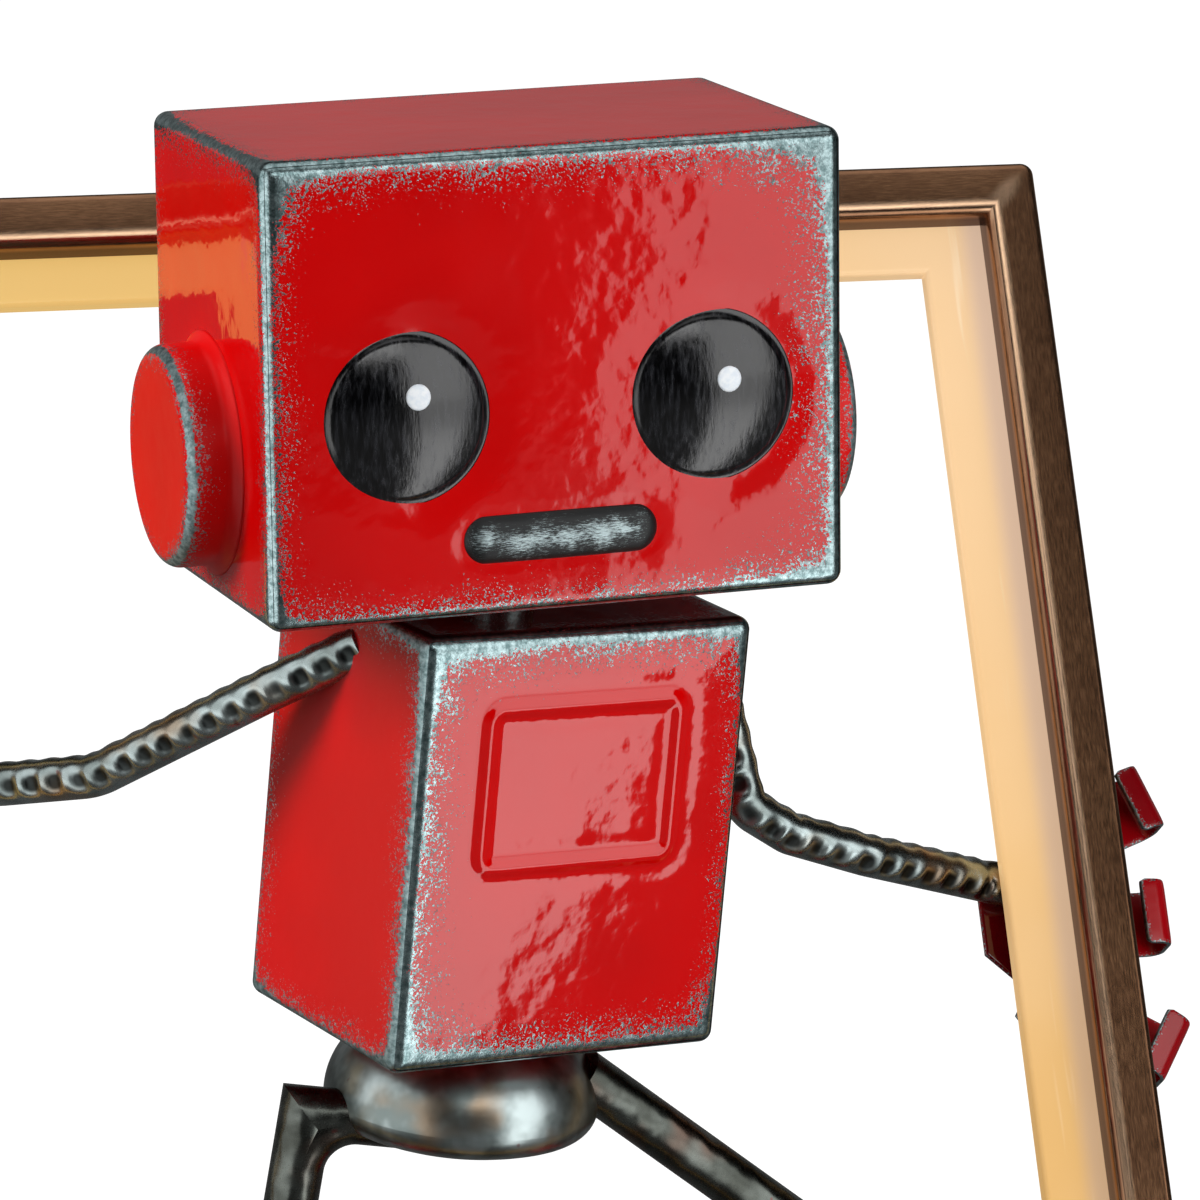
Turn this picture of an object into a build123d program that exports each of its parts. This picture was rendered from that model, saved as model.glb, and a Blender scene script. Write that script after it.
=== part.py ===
from build123d import *
import math
import os

os.makedirs("parts", exist_ok=True)

# A robot of folded sheet steel that carries a lit picture frame, used as a desk lamp.
# Millimetres and degrees. +Z is up, the table is Z = 0, the front looks towards -Y,
# and the origin is the middle of the footprint, under the lit frame.
# Left and right are those of somebody who looks at the lamp from the front.

# --- Driving dimensions: lit frame ---
frame_width = 308.0          # outside, across
frame_length = 356.5         # outside, along the lean
frame_lean = 31.0            # the top is further back than the foot
frame_corner_radius = 2.5    # outer corners, seen from the front
bar_face = 12.5              # metal seen from the front
bar_depth = 24.0             # outer side wall, front to back
bar_sheet = 1.4              # folded sheet of the frame
bar_edge_radius = 1.3        # front edges of the frame
step_depth = 9.0             # from the front of the metal back to the glowing band
guide_side_reach = 27.3      # outer side to the inner edge of the glowing band, upright bars
guide_top_reach = 24.0       # the same on the top and bottom bars
guide_thickness = 4.0
guide_edge_radius = 1.2
back_plate_sheet = 1.2
back_plate_margin = 1.5      # how far the back plate stays inside the glowing band's edge
strip_thickness = 1.2        # light strip on the outer side wall
strip_to_guide = 0.4         # air between the light strip and the edge of the light guide
bracket_leg = 34.0
bracket_width = 9.0
bracket_sheet = 1.5
bracket_screw_spots = (15.3, 27.9)   # from the corner, along each leg
bracket_screw_bite = 3.0     # into the light guide
frame_pad_width = 24.0
frame_pad_length = 16.0
frame_pad_height = 9.5       # of the rubber block before the bar is cut out of it
frame_pad_under = 1.5        # rubber under the lowest edge of the frame
frame_pad_inset = 24.0       # middle of the pad, from the outer side of the frame
frame_pad_ahead = 4.8        # middle of the pad, ahead of the frame's lowest edge

# --- Driving dimensions: torso ---
torso_floor_centre = (-3.6, -38.0, 151.1)
torso_width = 83.1
torso_depth = 64.0
torso_height = 97.3
torso_turn = 19.9            # turned towards the right
torso_nod = 3.7              # leans forward
torso_tilt = 3.6             # leans to the right
sheet = 1.2                  # folded sheet of head, torso and boots
torso_edge_radius = 3.0
panel_width = 52.5           # pressed ring on the chest, outside
panel_height = 40.0
panel_ring = 4.5
panel_corner_radius = 3.0
panel_raise = 1.0
panel_edge_radius = 0.8
panel_centre_height = 14.2   # above the middle of the torso
back_opening_width = 60.0
back_opening_height = 74.0
back_cover_overlap = 4.5
back_cover_corner_radius = 3.0
cover_screw_bite = 3.0       # past the torso's wall

# --- Driving dimensions: head ---
head_offset = (-4.9, -4.8, 5.8)      # from the torso's top to the head's underside, middles
head_width = 128.9
head_depth = 82.7
head_height = 99.6
head_turn = 7.5
head_nod = -0.2
head_tilt = -0.65
head_edge_radius = 3.2
eye_spacing = 68.2
eye_diameter = 36.4
eye_height = 44.0            # above the underside of the head
eye_dome = 4.0
mouth_width = 43.1
mouth_across = 10.3
mouth_height = 16.6          # above the underside of the head
mouth_plate_thickness = 1.6
mouth_edge_radius = 1.4
ear_diameter = 48.0
ear_reach = 11.5
ear_rim_radius = 3.4
ear_height = 31.1            # above the underside of the head
ear_setback = 2.0            # behind the middle of the head
stud_diameter = 4.0
stud_nut_width = 7.0
stud_nut_thickness = 3.2
stud_spare = 1.5             # stud past its nut

# --- Driving dimensions: neck ---
neck_shoulder_diameter = 16.0
spindle_diameter = 6.0
spindle_clearance = 0.05     # radial, so that the head swivels
neck_gap = 0.15              # axial, each side of the head's base plate
neck_washer_diameter = 16.0
neck_washer_thickness = 1.5
neck_nut_width = 10.0
neck_nut_thickness = 5.0
neck_post_length = 30.0      # below the head, before the torso's top is cut out of it
spindle_spare = 2.0          # spindle past its nut

# --- Driving dimensions: limbs ---
arm_diameter = 9.6
arm_bore = 5.0
leg_diameter = 12.0
lead_diameter = 3.0          # two-core lead inside the right arm
pelvis_diameter = 61.2
pelvis_crown_height = 18.2   # from the rim up to the torso, and the crown's arc radius
pelvis_dish_depth = 10.8     # from the rim down
pelvis_rim_radius = 6.0      # of the tight arc below the rim
pelvis_sheet = 1.5
pelvis_shift = -3.3          # sideways, from the middle of the torso's floor
pelvis_bolt_diameter = 6.0
pelvis_bolt_spare = 4.0      # bolt past its nut
pelvis_nut_width = 10.0
pelvis_nut_thickness = 3.5   # the bolt's head is as thick
boot_length = 56.0
boot_width = 34.0
boot_height = 22.0
boot_corner_radius = 10.2
boot_edge_radius = 4.0
boot_toe_out = 8.0           # degrees
sole_thickness = 3.0
sole_inset = 1.0
# Routes of the legs, from the middle of the torso's floor, in the lamp's own axes
left_hip = (-18.6, -8.0, -20.6)
left_knee = (-40.7, -8.0, -17.1)
right_hip = (21.4, -6.0, -12.6)
right_knee = (83.4, 3.0, -62.6)
left_knee_radius = 12.5
right_knee_radius = 14.0
left_ankle = (-63.0, -44.0)  # on the table, from the lamp's origin
right_ankle = (85.0, -34.0)
# Routes of the arms: the shoulder along the torso's own axes, from its middle, and the
# bends from the torso's middle, in the lamp's own axes
left_shoulder_height = 36.5
left_shoulder_setback = 3.2
right_shoulder_height = 33.0
right_shoulder_setback = 5.0
left_arm_bends = [(-51.7, -0.1, 28.7), (-84.9, 31.9, 3.6), (-103.9, 49.9, -1.7)]
right_arm_bends = [(53.7, 23.9, 22.9), (61.3, 23.9, -9.0), (72.3, 26.9, -16.6),
                   (91.8, 32.9, -24.3)]
left_arm_radius = 14.0
right_arm_radius = 9.0
arm_end_inwards = (30.0, 13.0)       # last two points, from the outer side of the bar
left_arm_end_rise = (6.0, 3.0)       # the same two points, above the palm's middle
right_arm_end_rise = (9.1, 4.4)

# --- Driving dimensions: hands ---
palm_across = 36.0           # octagon, flat to flat
palm_sheet = 1.3
palm_from_side = 12.0        # palm centre, inwards from the outer side of the bar
right_palm_down = 180.0      # palm centre, down the bar from the top of the frame
left_palm_down = 140.0
finger_width = 15.5
finger_sheet = 1.3
finger_bend_radius = 3.2
finger_forward = 11.0        # how far the hook comes forward
finger_return = 6.0          # how far the tip turns back towards the bar
finger_tip_rise = 1.5        # how far the tip slopes forward
# fold centre outside the bar, fold centre below the palm centre, direction, leg length
finger_layout = [(11.7, -26.5, 20.0, 28.0), (12.1, 1.9, 0.0, 28.0), (10.0, 35.0, -32.0, 36.0)]

# --- Driving dimensions: electrical parts and fasteners ---
board_size = (46.0, 34.0, 1.6)
board_gap = 6.0              # between the switch and the board
# on the board: place across and up, then width, height and thickness
board_parts = [((-14.0, 6.0), (9.0, 12.0, 8.0)), ((2.0, 8.0), (11.0, 9.0, 6.0)),
               ((14.0, -6.0), (8.0, 8.0, 5.0)), ((-6.0, -9.0), (14.0, 5.0, 3.0))]
spacer_diameter = 5.0
spacer_margin = 4.0          # middle of the spacer, from the board's edges
jack_thread_diameter = 8.0
jack_flange_diameter = 11.0
jack_flange_thickness = 2.0
jack_nut_width = 11.0
jack_nut_thickness = 2.5
jack_bore = 6.4
jack_pin_diameter = 2.0
jack_length = 12.0
jack_height = -26.0          # from the middle of the torso
switch_height = 24.0         # from the middle of the torso
switch_bezel = (15.0, 21.0, 2.0)
switch_bezel_radius = 0.8
switch_body = (13.0, 19.0, 12.0)
switch_floor = 2.0
rocker_size = (10.4, 15.4)
rocker_opening = (11.0, 17.8)
rocker_end_rise = 3.4        # of the rocker's ends, above its pivot
rocker_middle_rise = 1.8
rocker_below = 2.6           # under its pivot
rocker_end_play = 0.3        # at each end of the pivot
rocker_half_travel = 12.0
rocker_pivot_diameter = 2.0
pivot_clearance = 0.05       # radial
screw_diameter = 2.5
screw_head_diameter = 4.6
screw_head_height = 1.6
hole_clearance = 0.15        # radial, round plain screws and bolts

through = 2 * head_height    # length of the tools that cut right through a piece
nodes = {}

# --- Places ---
lean = math.radians(frame_lean)
corner_height = (frame_length * math.cos(lean) + bar_depth * math.sin(lean)
                 + frame_pad_under)
frame_run = frame_length * math.sin(lean) + bar_depth * math.cos(lean)
foot_front = (0, -frame_run / 2, corner_height - frame_length * math.cos(lean))
# Local axes of the lit frame: X across, Y up along the bars, Z out of its front.
frame_place = Plane(origin=foot_front, x_dir=(1, 0, 0),
                    z_dir=(0, -math.cos(lean), math.sin(lean))).location
torso_place = (Pos(*torso_floor_centre) * Rot(0, 0, torso_turn) * Rot(torso_nod, 0, 0)
               * Rot(0, torso_tilt, 0) * Pos(0, 0, torso_height / 2))
torso_top = (torso_place * Pos(0, 0, torso_height / 2)).position
head_place = (Pos(*torso_top) * Pos(*head_offset) * Rot(0, 0, head_turn)
              * Rot(head_nod, 0, 0) * Rot(0, head_tilt, 0) * Pos(0, 0, head_height / 2))


def rounded_box(width, depth, height, radius):
    """A box about the origin with all its edges rounded."""
    return fillet(Box(width, depth, height).edges(), radius)


def tube_path(points, radius):
    """Straight runs joined by arcs of one radius."""
    return FilletPolyline(*points, radius=radius)


def rod(path, diameter):
    """A round rod along a path."""
    start = Plane(origin=path @ 0, z_dir=path % 0)
    return sweep(start * Circle(diameter / 2), path=path)


def mitred_rod(points, diameter):
    """A round rod of straight runs that meet at mitres."""
    path = Polyline(*points)
    start = Plane(origin=path @ 0, z_dir=path % 0)
    return sweep(start * Circle(diameter / 2), path=path, transition=Transition.RIGHT)


def hexagon(width, thickness):
    """A hexagonal nut blank, flat to flat, standing on Z = 0."""
    return extrude(RegularPolygon(width / 2, 6, major_radius=False), thickness)


def screw(shank_length, axis_place):
    """A round-headed screw whose head stands on the local XY plane, shank down."""
    head = Pos(0, 0, screw_head_height / 2) * Cylinder(screw_head_diameter / 2, screw_head_height)
    head = fillet(head.edges().sort_by(Axis.Z)[-1], screw_head_height * 0.4)
    shank = Pos(0, 0, -shank_length / 2) * Cylinder(screw_diameter / 2, shank_length)
    return axis_place * (head + shank)


def screw_hole(place, length, clearance=hole_clearance):
    """The hole for a screw's shank, down from the local XY plane."""
    return place * Pos(0, 0, -length / 2) * Cylinder(screw_diameter / 2 + clearance, length)


# --- Lit frame: nested rings, each split at the mitres into four bars ---
def ring(outer, inner, back, front, corner=0.0):
    """A flat ring between two insets (across, along), from back to front depth."""
    middle = Pos(0, frame_length / 2, (back + front) / 2)
    outside = Box(frame_width - 2 * outer[0], frame_length - 2 * outer[1], front - back)
    if corner:
        outside = fillet(outside.edges().filter_by(Axis.Z), corner)
    inside = Box(frame_width - 2 * inner[0], frame_length - 2 * inner[1], 2 * (front - back))
    return middle * (outside - inside)


def mitre_prism(side):
    """The region of the frame that belongs to one bar, cut at 45 degrees in the corners."""
    half = frame_width / 2
    reach = 2 * guide_side_reach
    outlines = {
        "top": [(-half, frame_length), (half, frame_length),
                (half - reach, frame_length - reach), (-half + reach, frame_length - reach)],
        "bottom": [(-half, 0), (half, 0), (half - reach, reach), (-half + reach, reach)],
        "left": [(-half, 0), (-half, frame_length), (-half + reach, frame_length - reach),
                 (-half + reach, reach)],
        "right": [(half, 0), (half, frame_length), (half - reach, frame_length - reach),
                  (half - reach, reach)],
    }
    outline = make_face(Polyline(*outlines[side], close=True))
    return extrude(outline, 2 * bar_depth, both=True)


sides = ["top", "bottom", "left", "right"]
guide_back = step_depth + guide_thickness
plate_back = guide_back + back_plate_sheet
guide_start = bar_sheet + strip_thickness + strip_to_guide

front_flange = ring((0, 0), (bar_face, bar_face), -bar_sheet, 0, frame_corner_radius)
side_wall = ring((0, 0), (bar_sheet, bar_sheet), -bar_depth, 0, frame_corner_radius)
step_wall = ring((bar_face - bar_sheet,) * 2, (bar_face,) * 2, -step_depth, 0)
metal_ring = front_flange + side_wall + step_wall
metal_ring = fillet(metal_ring.edges().group_by(Axis.Z)[-1], bar_edge_radius)

guide_ring = ring((guide_start,) * 2, (guide_side_reach, guide_top_reach), -guide_back,
                  -step_depth)
inner_front_edges = [e for e in guide_ring.edges().group_by(Axis.Z)[-1]
                     if abs(e.center().X) < frame_width / 2 - bar_face
                     and bar_face < e.center().Y < frame_length - bar_face]
guide_ring = fillet(inner_front_edges, guide_edge_radius)

plate_ring = ring((bar_sheet,) * 2, (guide_side_reach - back_plate_margin,
                                     guide_top_reach - back_plate_margin),
                  -plate_back, -guide_back)
strip_ring = ring((bar_sheet,) * 2, (bar_sheet + strip_thickness,) * 2, -guide_back,
                  -step_depth)

# Corner brackets lie on the back plates, with two screws in each leg.
bracket_seat = -plate_back
bracket_back = bracket_seat - bracket_sheet
corner_signs = [(-1, 1), (1, 1), (-1, -1), (1, -1)]
brackets = []
bracket_screw_places = []
for across, along in corner_signs:
    corner_x = across * (frame_width / 2 - bar_sheet)
    corner_y = frame_length / 2 + along * (frame_length / 2 - bar_sheet)
    level = bracket_seat - bracket_sheet / 2
    leg_across = Pos(corner_x - across * bracket_leg / 2, corner_y - along * bracket_width / 2,
                     level) * Box(bracket_leg, bracket_width, bracket_sheet)
    leg_along = Pos(corner_x - across * bracket_width / 2, corner_y - along * bracket_leg / 2,
                    level) * Box(bracket_width, bracket_leg, bracket_sheet)
    bracket = leg_across + leg_along
    for reach in bracket_screw_spots:
        for spot in ((corner_x - across * reach, corner_y - along * bracket_width / 2),
                     (corner_x - across * bracket_width / 2, corner_y - along * reach)):
            place = Pos(spot[0], spot[1], bracket_back) * Rot(180, 0, 0)
            bracket_screw_places.append(place)
            bracket -= screw_hole(place, bracket_sheet)
    brackets.append(bracket)

bracket_screw_length = bracket_sheet + back_plate_sheet + bracket_screw_bite
plate_holes = [screw_hole(place, bracket_sheet + back_plate_sheet)
               for place in bracket_screw_places]
guide_holes = [screw_hole(place, bracket_screw_length, 0.0) for place in bracket_screw_places]
plate_ring -= plate_holes
guide_ring -= guide_holes

for side in sides:
    prism = mitre_prism(side)
    nodes["frame_" + side] = frame_place * (metal_ring & prism)
    nodes["light_guide_" + side] = frame_place * (guide_ring & prism)
    nodes["back_plate_" + side] = frame_place * (plate_ring & prism)
    nodes["led_strip_" + side] = frame_place * (strip_ring & prism)
nodes["corner_brackets"] = Compound([frame_place * b for b in brackets])
nodes["bracket_screws"] = Compound([screw(bracket_screw_length, frame_place * place)
                                    for place in bracket_screw_places])

# Rubber pads under the lowest edge of the bottom bar.
lowest_edge_y = foot_front[1] + bar_depth * math.cos(lean)
envelope = frame_place * Pos(0, frame_length / 2, -bar_depth / 2) * Box(
    frame_width, frame_length, bar_depth)
pads = []
for across in (-1, 1):
    pad_x = across * (frame_width / 2 - frame_pad_inset)
    block = Pos(pad_x, lowest_edge_y - frame_pad_ahead, frame_pad_height / 2) * Box(
        frame_pad_width, frame_pad_length, frame_pad_height)
    pads.append(block - envelope)
nodes["frame_pads"] = Compound(pads)

# --- Torso ---
torso_half = (torso_width / 2, torso_depth / 2, torso_height / 2)
torso_outer = rounded_box(torso_width, torso_depth, torso_height, torso_edge_radius)
torso_inner = rounded_box(torso_width - 2 * sheet, torso_depth - 2 * sheet,
                          torso_height - 2 * sheet, torso_edge_radius - sheet)
back_opening = Pos(0, torso_half[1], 0) * Box(back_opening_width, 6 * sheet,
                                              back_opening_height)
chest = Plane(origin=(0, -torso_half[1], panel_centre_height), x_dir=(1, 0, 0),
              z_dir=(0, -1, 0))
ring_outline = RectangleRounded(panel_width, panel_height, panel_corner_radius)
ring_inside = RectangleRounded(panel_width - 2 * panel_ring, panel_height - 2 * panel_ring,
                               panel_corner_radius / 2)
panel = extrude(chest * (ring_outline - ring_inside), panel_raise)
panel = fillet(panel.edges().group_by(Axis.Y)[0], panel_edge_radius)
torso_shell = torso_outer - torso_inner - back_opening + panel

cover_width = back_opening_width + 2 * back_cover_overlap
cover_height = back_opening_height + 2 * back_cover_overlap
cover_outer_y = torso_half[1] + sheet
back = Plane(origin=(0, cover_outer_y, 0), x_dir=(-1, 0, 0), z_dir=(0, 1, 0))
back_cover = extrude(back * RectangleRounded(cover_width, cover_height,
                                                back_cover_corner_radius), -sheet)
cover_screw_places = []
for across in (-1, 1):
    for up in (-1, 1):
        spot = Pos(across * (cover_width / 2 - back_cover_overlap / 2),
                   up * (cover_height / 2 - back_cover_overlap / 2), 0)
        cover_screw_places.append(back.location * spot)
cover_screw_length = 2 * sheet + cover_screw_bite
for place in cover_screw_places:
    back_cover -= screw_hole(place, sheet)
    torso_shell -= screw_hole(place, cover_screw_length, 0.0)

# --- Neck: a post welded to the torso's top, along the head's own upright axis ---
head_half = (head_width / 2, head_depth / 2, head_height / 2)
base_under = -head_half[2]
base_top = base_under + sheet
shoulder_top = base_under - neck_gap
shoulder = Pos(0, 0, shoulder_top - neck_post_length / 2) * Cylinder(
    neck_shoulder_diameter / 2, neck_post_length)
washer_under = base_top + neck_gap
nut_under = washer_under + neck_washer_thickness
spindle_top = nut_under + neck_nut_thickness + spindle_spare
spindle = Pos(0, 0, (shoulder_top + spindle_top) / 2) * Cylinder(
    spindle_diameter / 2, spindle_top - shoulder_top)
nodes["neck_post"] = head_place * (shoulder + spindle) - torso_place * Box(
    torso_width, torso_depth, torso_height)
washer_blank = Pos(0, 0, neck_washer_thickness / 2) * Cylinder(
    neck_washer_diameter / 2, neck_washer_thickness)
spindle_hole = Cylinder(spindle_diameter / 2, through)
nodes["neck_washer"] = head_place * (Pos(0, 0, washer_under) * washer_blank - spindle_hole)
nodes["neck_nut"] = head_place * (
    Pos(0, 0, nut_under) * hexagon(neck_nut_width, neck_nut_thickness) - spindle_hole)

# --- Pelvis ---
pelvis_place = torso_place * Pos(pelvis_shift, 0, -torso_half[2])
pelvis_radius = pelvis_diameter / 2
rim_centre = pelvis_radius - pelvis_rim_radius
# The dish's arc is tangent to the rim's arc and as deep as the dish on the axis.
dish_rise = (rim_centre**2 - (pelvis_dish_depth - pelvis_rim_radius) ** 2) / (
    2 * (pelvis_dish_depth - pelvis_rim_radius))
dish_angle = math.degrees(math.atan2(dish_rise, rim_centre))


def bowl(wall):
    """A flattened ball under the local XY plane, smaller all round by a wall. Its profile is
    a flat top, a crown arc down to the rim, a tight arc below it and a shallow dish."""
    rim = -pelvis_crown_height
    crown_x = pelvis_radius - pelvis_crown_height
    dish_bottom = rim - pelvis_dish_depth + wall
    profile = Curve() + [
        Line((0, dish_bottom), (0, -wall)),
        Line((0, -wall), (crown_x, -wall)),
        CenterArc((crown_x, rim), pelvis_crown_height - wall, 0, 90),
        CenterArc((rim_centre, rim), pelvis_rim_radius - wall, -dish_angle, dish_angle),
        CenterArc((0, rim + dish_rise), dish_rise + pelvis_dish_depth - wall, -90,
                  90 - dish_angle),
    ]
    return revolve(Plane.XZ * make_face(profile), Axis.Z)


bowl_outer = bowl(0.0)
bolt_hole = Cylinder(pelvis_bolt_diameter / 2 + hole_clearance, 6 * pelvis_sheet)
nodes["pelvis_bowl"] = pelvis_place * (bowl_outer - bowl(pelvis_sheet) - bolt_hole)
torso_shell -= torso_place.inverse() * pelvis_place * bolt_hole

bolt_reach = sheet + pelvis_nut_thickness + pelvis_bolt_spare
pelvis_hexagon = hexagon(pelvis_nut_width, pelvis_nut_thickness)
bolt_head = Pos(0, 0, -pelvis_sheet - pelvis_nut_thickness) * pelvis_hexagon
bolt_shank = Pos(0, 0, (bolt_reach - pelvis_sheet) / 2) * Cylinder(
    pelvis_bolt_diameter / 2, bolt_reach + pelvis_sheet)
nodes["pelvis_bolt"] = pelvis_place * (bolt_head + bolt_shank)
nodes["pelvis_nut"] = pelvis_place * (
    Pos(0, 0, sheet) * pelvis_hexagon - Cylinder(pelvis_bolt_diameter / 2, through))

# --- Legs and boots ---
def moved(start, offset):
    """The point at an offset from another, in the lamp's own axes."""
    return tuple(a + b for a, b in zip(start, offset))


ankle_height = sole_thickness + boot_height
leg_points = {
    "left": [moved(torso_floor_centre, left_hip), moved(torso_floor_centre, left_knee),
             left_ankle + (ankle_height,)],
    "right": [moved(torso_floor_centre, right_hip), moved(torso_floor_centre, right_knee),
              right_ankle + (ankle_height,)],
}
# The left leg is bent round its knee and built up to a square corner on the outside.
legs = {
    "left": (rod(tube_path(leg_points["left"], left_knee_radius), leg_diameter)
             + mitred_rod(leg_points["left"], leg_diameter)),
    "right": rod(tube_path(leg_points["right"], right_knee_radius), leg_diameter),
}
bowl_solid = pelvis_place * bowl_outer
torso_solid = torso_place * torso_outer
for side, toe in (("left", 1), ("right", -1)):
    ankle = leg_points[side][-1]
    boot_place = Pos(ankle[0], ankle[1], 0) * Rot(0, 0, -toe * boot_toe_out)
    boot_block = boot_place * Pos(0, 0, ankle_height / 2) * Box(boot_width, boot_length,
                                                                ankle_height)
    nodes["leg_" + side] = legs[side] - bowl_solid - boot_block
    boot_body = Pos(0, 0, sole_thickness + boot_height / 2) * Box(
        boot_width, boot_length, boot_height)
    boot_body = fillet(boot_body.edges().filter_by(Axis.Z), boot_corner_radius)
    boot_body = fillet(boot_body.edges().group_by(Axis.Z)[-1], boot_edge_radius)
    boot_hollow = Pos(0, 0, sole_thickness + (boot_height - sheet) / 2) * Box(
        boot_width - 2 * sheet, boot_length - 2 * sheet, boot_height - sheet)
    boot_hollow = fillet(boot_hollow.edges().filter_by(Axis.Z), boot_corner_radius - sheet)
    boot_hollow = fillet(boot_hollow.edges().group_by(Axis.Z)[-1], boot_edge_radius - sheet)
    nodes["boot_" + side] = boot_place * (boot_body - boot_hollow)
    sole = Pos(0, 0, sole_thickness / 2) * Box(boot_width - 2 * sole_inset,
                                               boot_length - 2 * sole_inset, sole_thickness)
    sole = fillet(sole.edges().filter_by(Axis.Z), boot_corner_radius - sole_inset)
    nodes["sole_" + side] = boot_place * sole

# --- Hands: the palm lies behind the bar, the fingers hook round its outer side ---
arm_rest_depth = bar_depth - arm_diameter / 2


def on_bar(side, inwards, down, depth):
    """A point of the lamp, from the outer side, the top and the front of an upright bar."""
    sign = 1 if side == "right" else -1
    local = Pos(sign * (frame_width / 2 - inwards), frame_length - down, -depth)
    return tuple((frame_place * local).position)


def finger(fold_out, fold_down, direction, leg, palm_down):
    """One bent strip of the right hand, in the frame's local axes."""
    back_level = -(bar_depth + palm_sheet + finger_sheet / 2)
    fold = (frame_width / 2 + fold_out, frame_length - palm_down - fold_down, back_level)
    place = Pos(*fold) * Rot(0, 0, direction)
    path = FilletPolyline((-leg, 0, 0), (0, 0, 0), (0, 0, finger_forward),
                          (-finger_return, 0, finger_forward + finger_tip_rise),
                          radius=finger_bend_radius)
    start = Plane(origin=path @ 0, x_dir=(0, 1, 0), z_dir=path % 0)
    return place * sweep(start * Rectangle(finger_width, finger_sheet), path=path)


palm_down = {"right": right_palm_down, "left": left_palm_down}
for side in ("left", "right"):
    palm_spot = (frame_width / 2 - palm_from_side, frame_length - palm_down[side],
                 -bar_depth - palm_sheet)
    palm = Pos(*palm_spot) * Rot(0, 0, 22.5) * extrude(
        RegularPolygon(palm_across / 2, 8, major_radius=False), palm_sheet)
    fingers = [finger(*layout, palm_down[side]) for layout in finger_layout]
    if side == "left":
        palm = palm.mirror(Plane.YZ)
        fingers = [f.mirror(Plane.YZ) for f in fingers]
    nodes["palm_" + side] = frame_place * palm
    nodes["fingers_" + side] = Compound([frame_place * f for f in fingers])

# --- Arms: tubes from the torso's sides to the palms ---
def arm_route(side, setback, height, bends, end_rise):
    """The points of one arm: the shoulder, its bends and its two points on the hand."""
    sign = 1 if side == "right" else -1
    shoulder_spot = Pos(sign * (torso_half[0] - sheet), setback, height)
    ends = [on_bar(side, inwards, palm_down[side] - rise, arm_rest_depth)
            for inwards, rise in zip(arm_end_inwards, end_rise)]
    return ([tuple((torso_place * shoulder_spot).position)]
            + [moved(torso_place.position, bend) for bend in bends] + ends)


left_points = arm_route("left", left_shoulder_setback, left_shoulder_height, left_arm_bends,
                        left_arm_end_rise)
right_points = arm_route("right", right_shoulder_setback, right_shoulder_height,
                         right_arm_bends, right_arm_end_rise)
arm_path = {"left": tube_path(left_points, left_arm_radius),
            "right": tube_path(right_points, right_arm_radius)}
for side in ("left", "right"):
    tube = rod(arm_path[side], arm_diameter) - rod(arm_path[side], arm_bore)
    nodes["arm_" + side] = tube - torso_solid
    root_place = Plane(origin=arm_path[side] @ 0, z_dir=arm_path[side] % 0).location
    torso_shell -= torso_place.inverse() * root_place * Cylinder(arm_bore / 2, 8 * sheet)

nodes["frame_lead"] = rod(arm_path["right"], lead_diameter)

# --- Head ---
head_shell = rounded_box(head_width, head_depth, head_height, head_edge_radius)
head_shell -= rounded_box(head_width - 2 * sheet, head_depth - 2 * sheet,
                          head_height - 2 * sheet, head_edge_radius - sheet)
head_shell -= Pos(0, 0, -head_half[2]) * Box(head_width - 2 * head_edge_radius,
                                             head_depth - 2 * head_edge_radius, 4 * sheet)
face = Plane(origin=(0, -head_half[1], 0), x_dir=(1, 0, 0), z_dir=(0, -1, 0)).location
mouth_place = face * Pos(0, mouth_height - head_half[2], 0)
mouth_plate = extrude(SlotOverall(mouth_width, mouth_across), mouth_plate_thickness)
mouth_plate = fillet(mouth_plate.edges().group_by(Axis.Z)[-1], mouth_edge_radius)
nodes["mouth_plate"] = head_place * mouth_place * mouth_plate

# The eyes are shallow domes on short studs, held by push nuts inside the face.
dome_radius = (eye_diameter ** 2 / 4 + eye_dome ** 2) / (2 * eye_dome)
dome = (Pos(0, 0, eye_dome - dome_radius) * Sphere(dome_radius)
        & Pos(0, 0, eye_dome) * Cylinder(eye_diameter / 2, 2 * eye_dome))
stud_length = sheet + stud_nut_thickness + stud_spare
stud = Pos(0, 0, -stud_length / 2) * Cylinder(stud_diameter / 2, stud_length)
stud_hole = Cylinder(stud_diameter / 2 + hole_clearance, 6 * sheet)
stud_nut = (Pos(0, 0, -sheet - stud_nut_thickness)
            * hexagon(stud_nut_width, stud_nut_thickness)
            - Cylinder(stud_diameter / 2, through))
stud_nuts = []
for side, sign in (("left", -1), ("right", 1)):
    eye_place = face * Pos(sign * eye_spacing / 2, eye_height - head_half[2], 0)
    nodes["eye_" + side] = head_place * eye_place * (dome + stud)
    stud_nuts.append(head_place * eye_place * stud_nut)
    head_shell -= eye_place * stud_hole

# The ears are drawn cups, each on a stud through the side of the head.
ear_radius = ear_diameter / 2
cup = Pos(0, 0, ear_reach / 2) * Cylinder(ear_radius, ear_reach)
cup = fillet(cup.edges().sort_by(Axis.Z)[-1], ear_rim_radius)
cup_hollow = Pos(0, 0, (ear_reach - sheet) / 2) * Cylinder(ear_radius - sheet, ear_reach - sheet)
cup_hollow = fillet(cup_hollow.edges().sort_by(Axis.Z)[-1], ear_rim_radius - sheet)
ear_stud = Pos(0, 0, (ear_reach - sheet - stud_length) / 2) * Cylinder(
    stud_diameter / 2, ear_reach - sheet + stud_length)
for side, sign in (("left", -1), ("right", 1)):
    ear_place = (Pos(sign * head_half[0], ear_setback, ear_height - head_half[2])
                 * Rot(0, sign * 90, 0))
    nodes["ear_" + side] = head_place * ear_place * (cup - cup_hollow + ear_stud)
    stud_nuts.append(head_place * ear_place * stud_nut)
    head_shell -= ear_place * stud_hole
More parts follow.
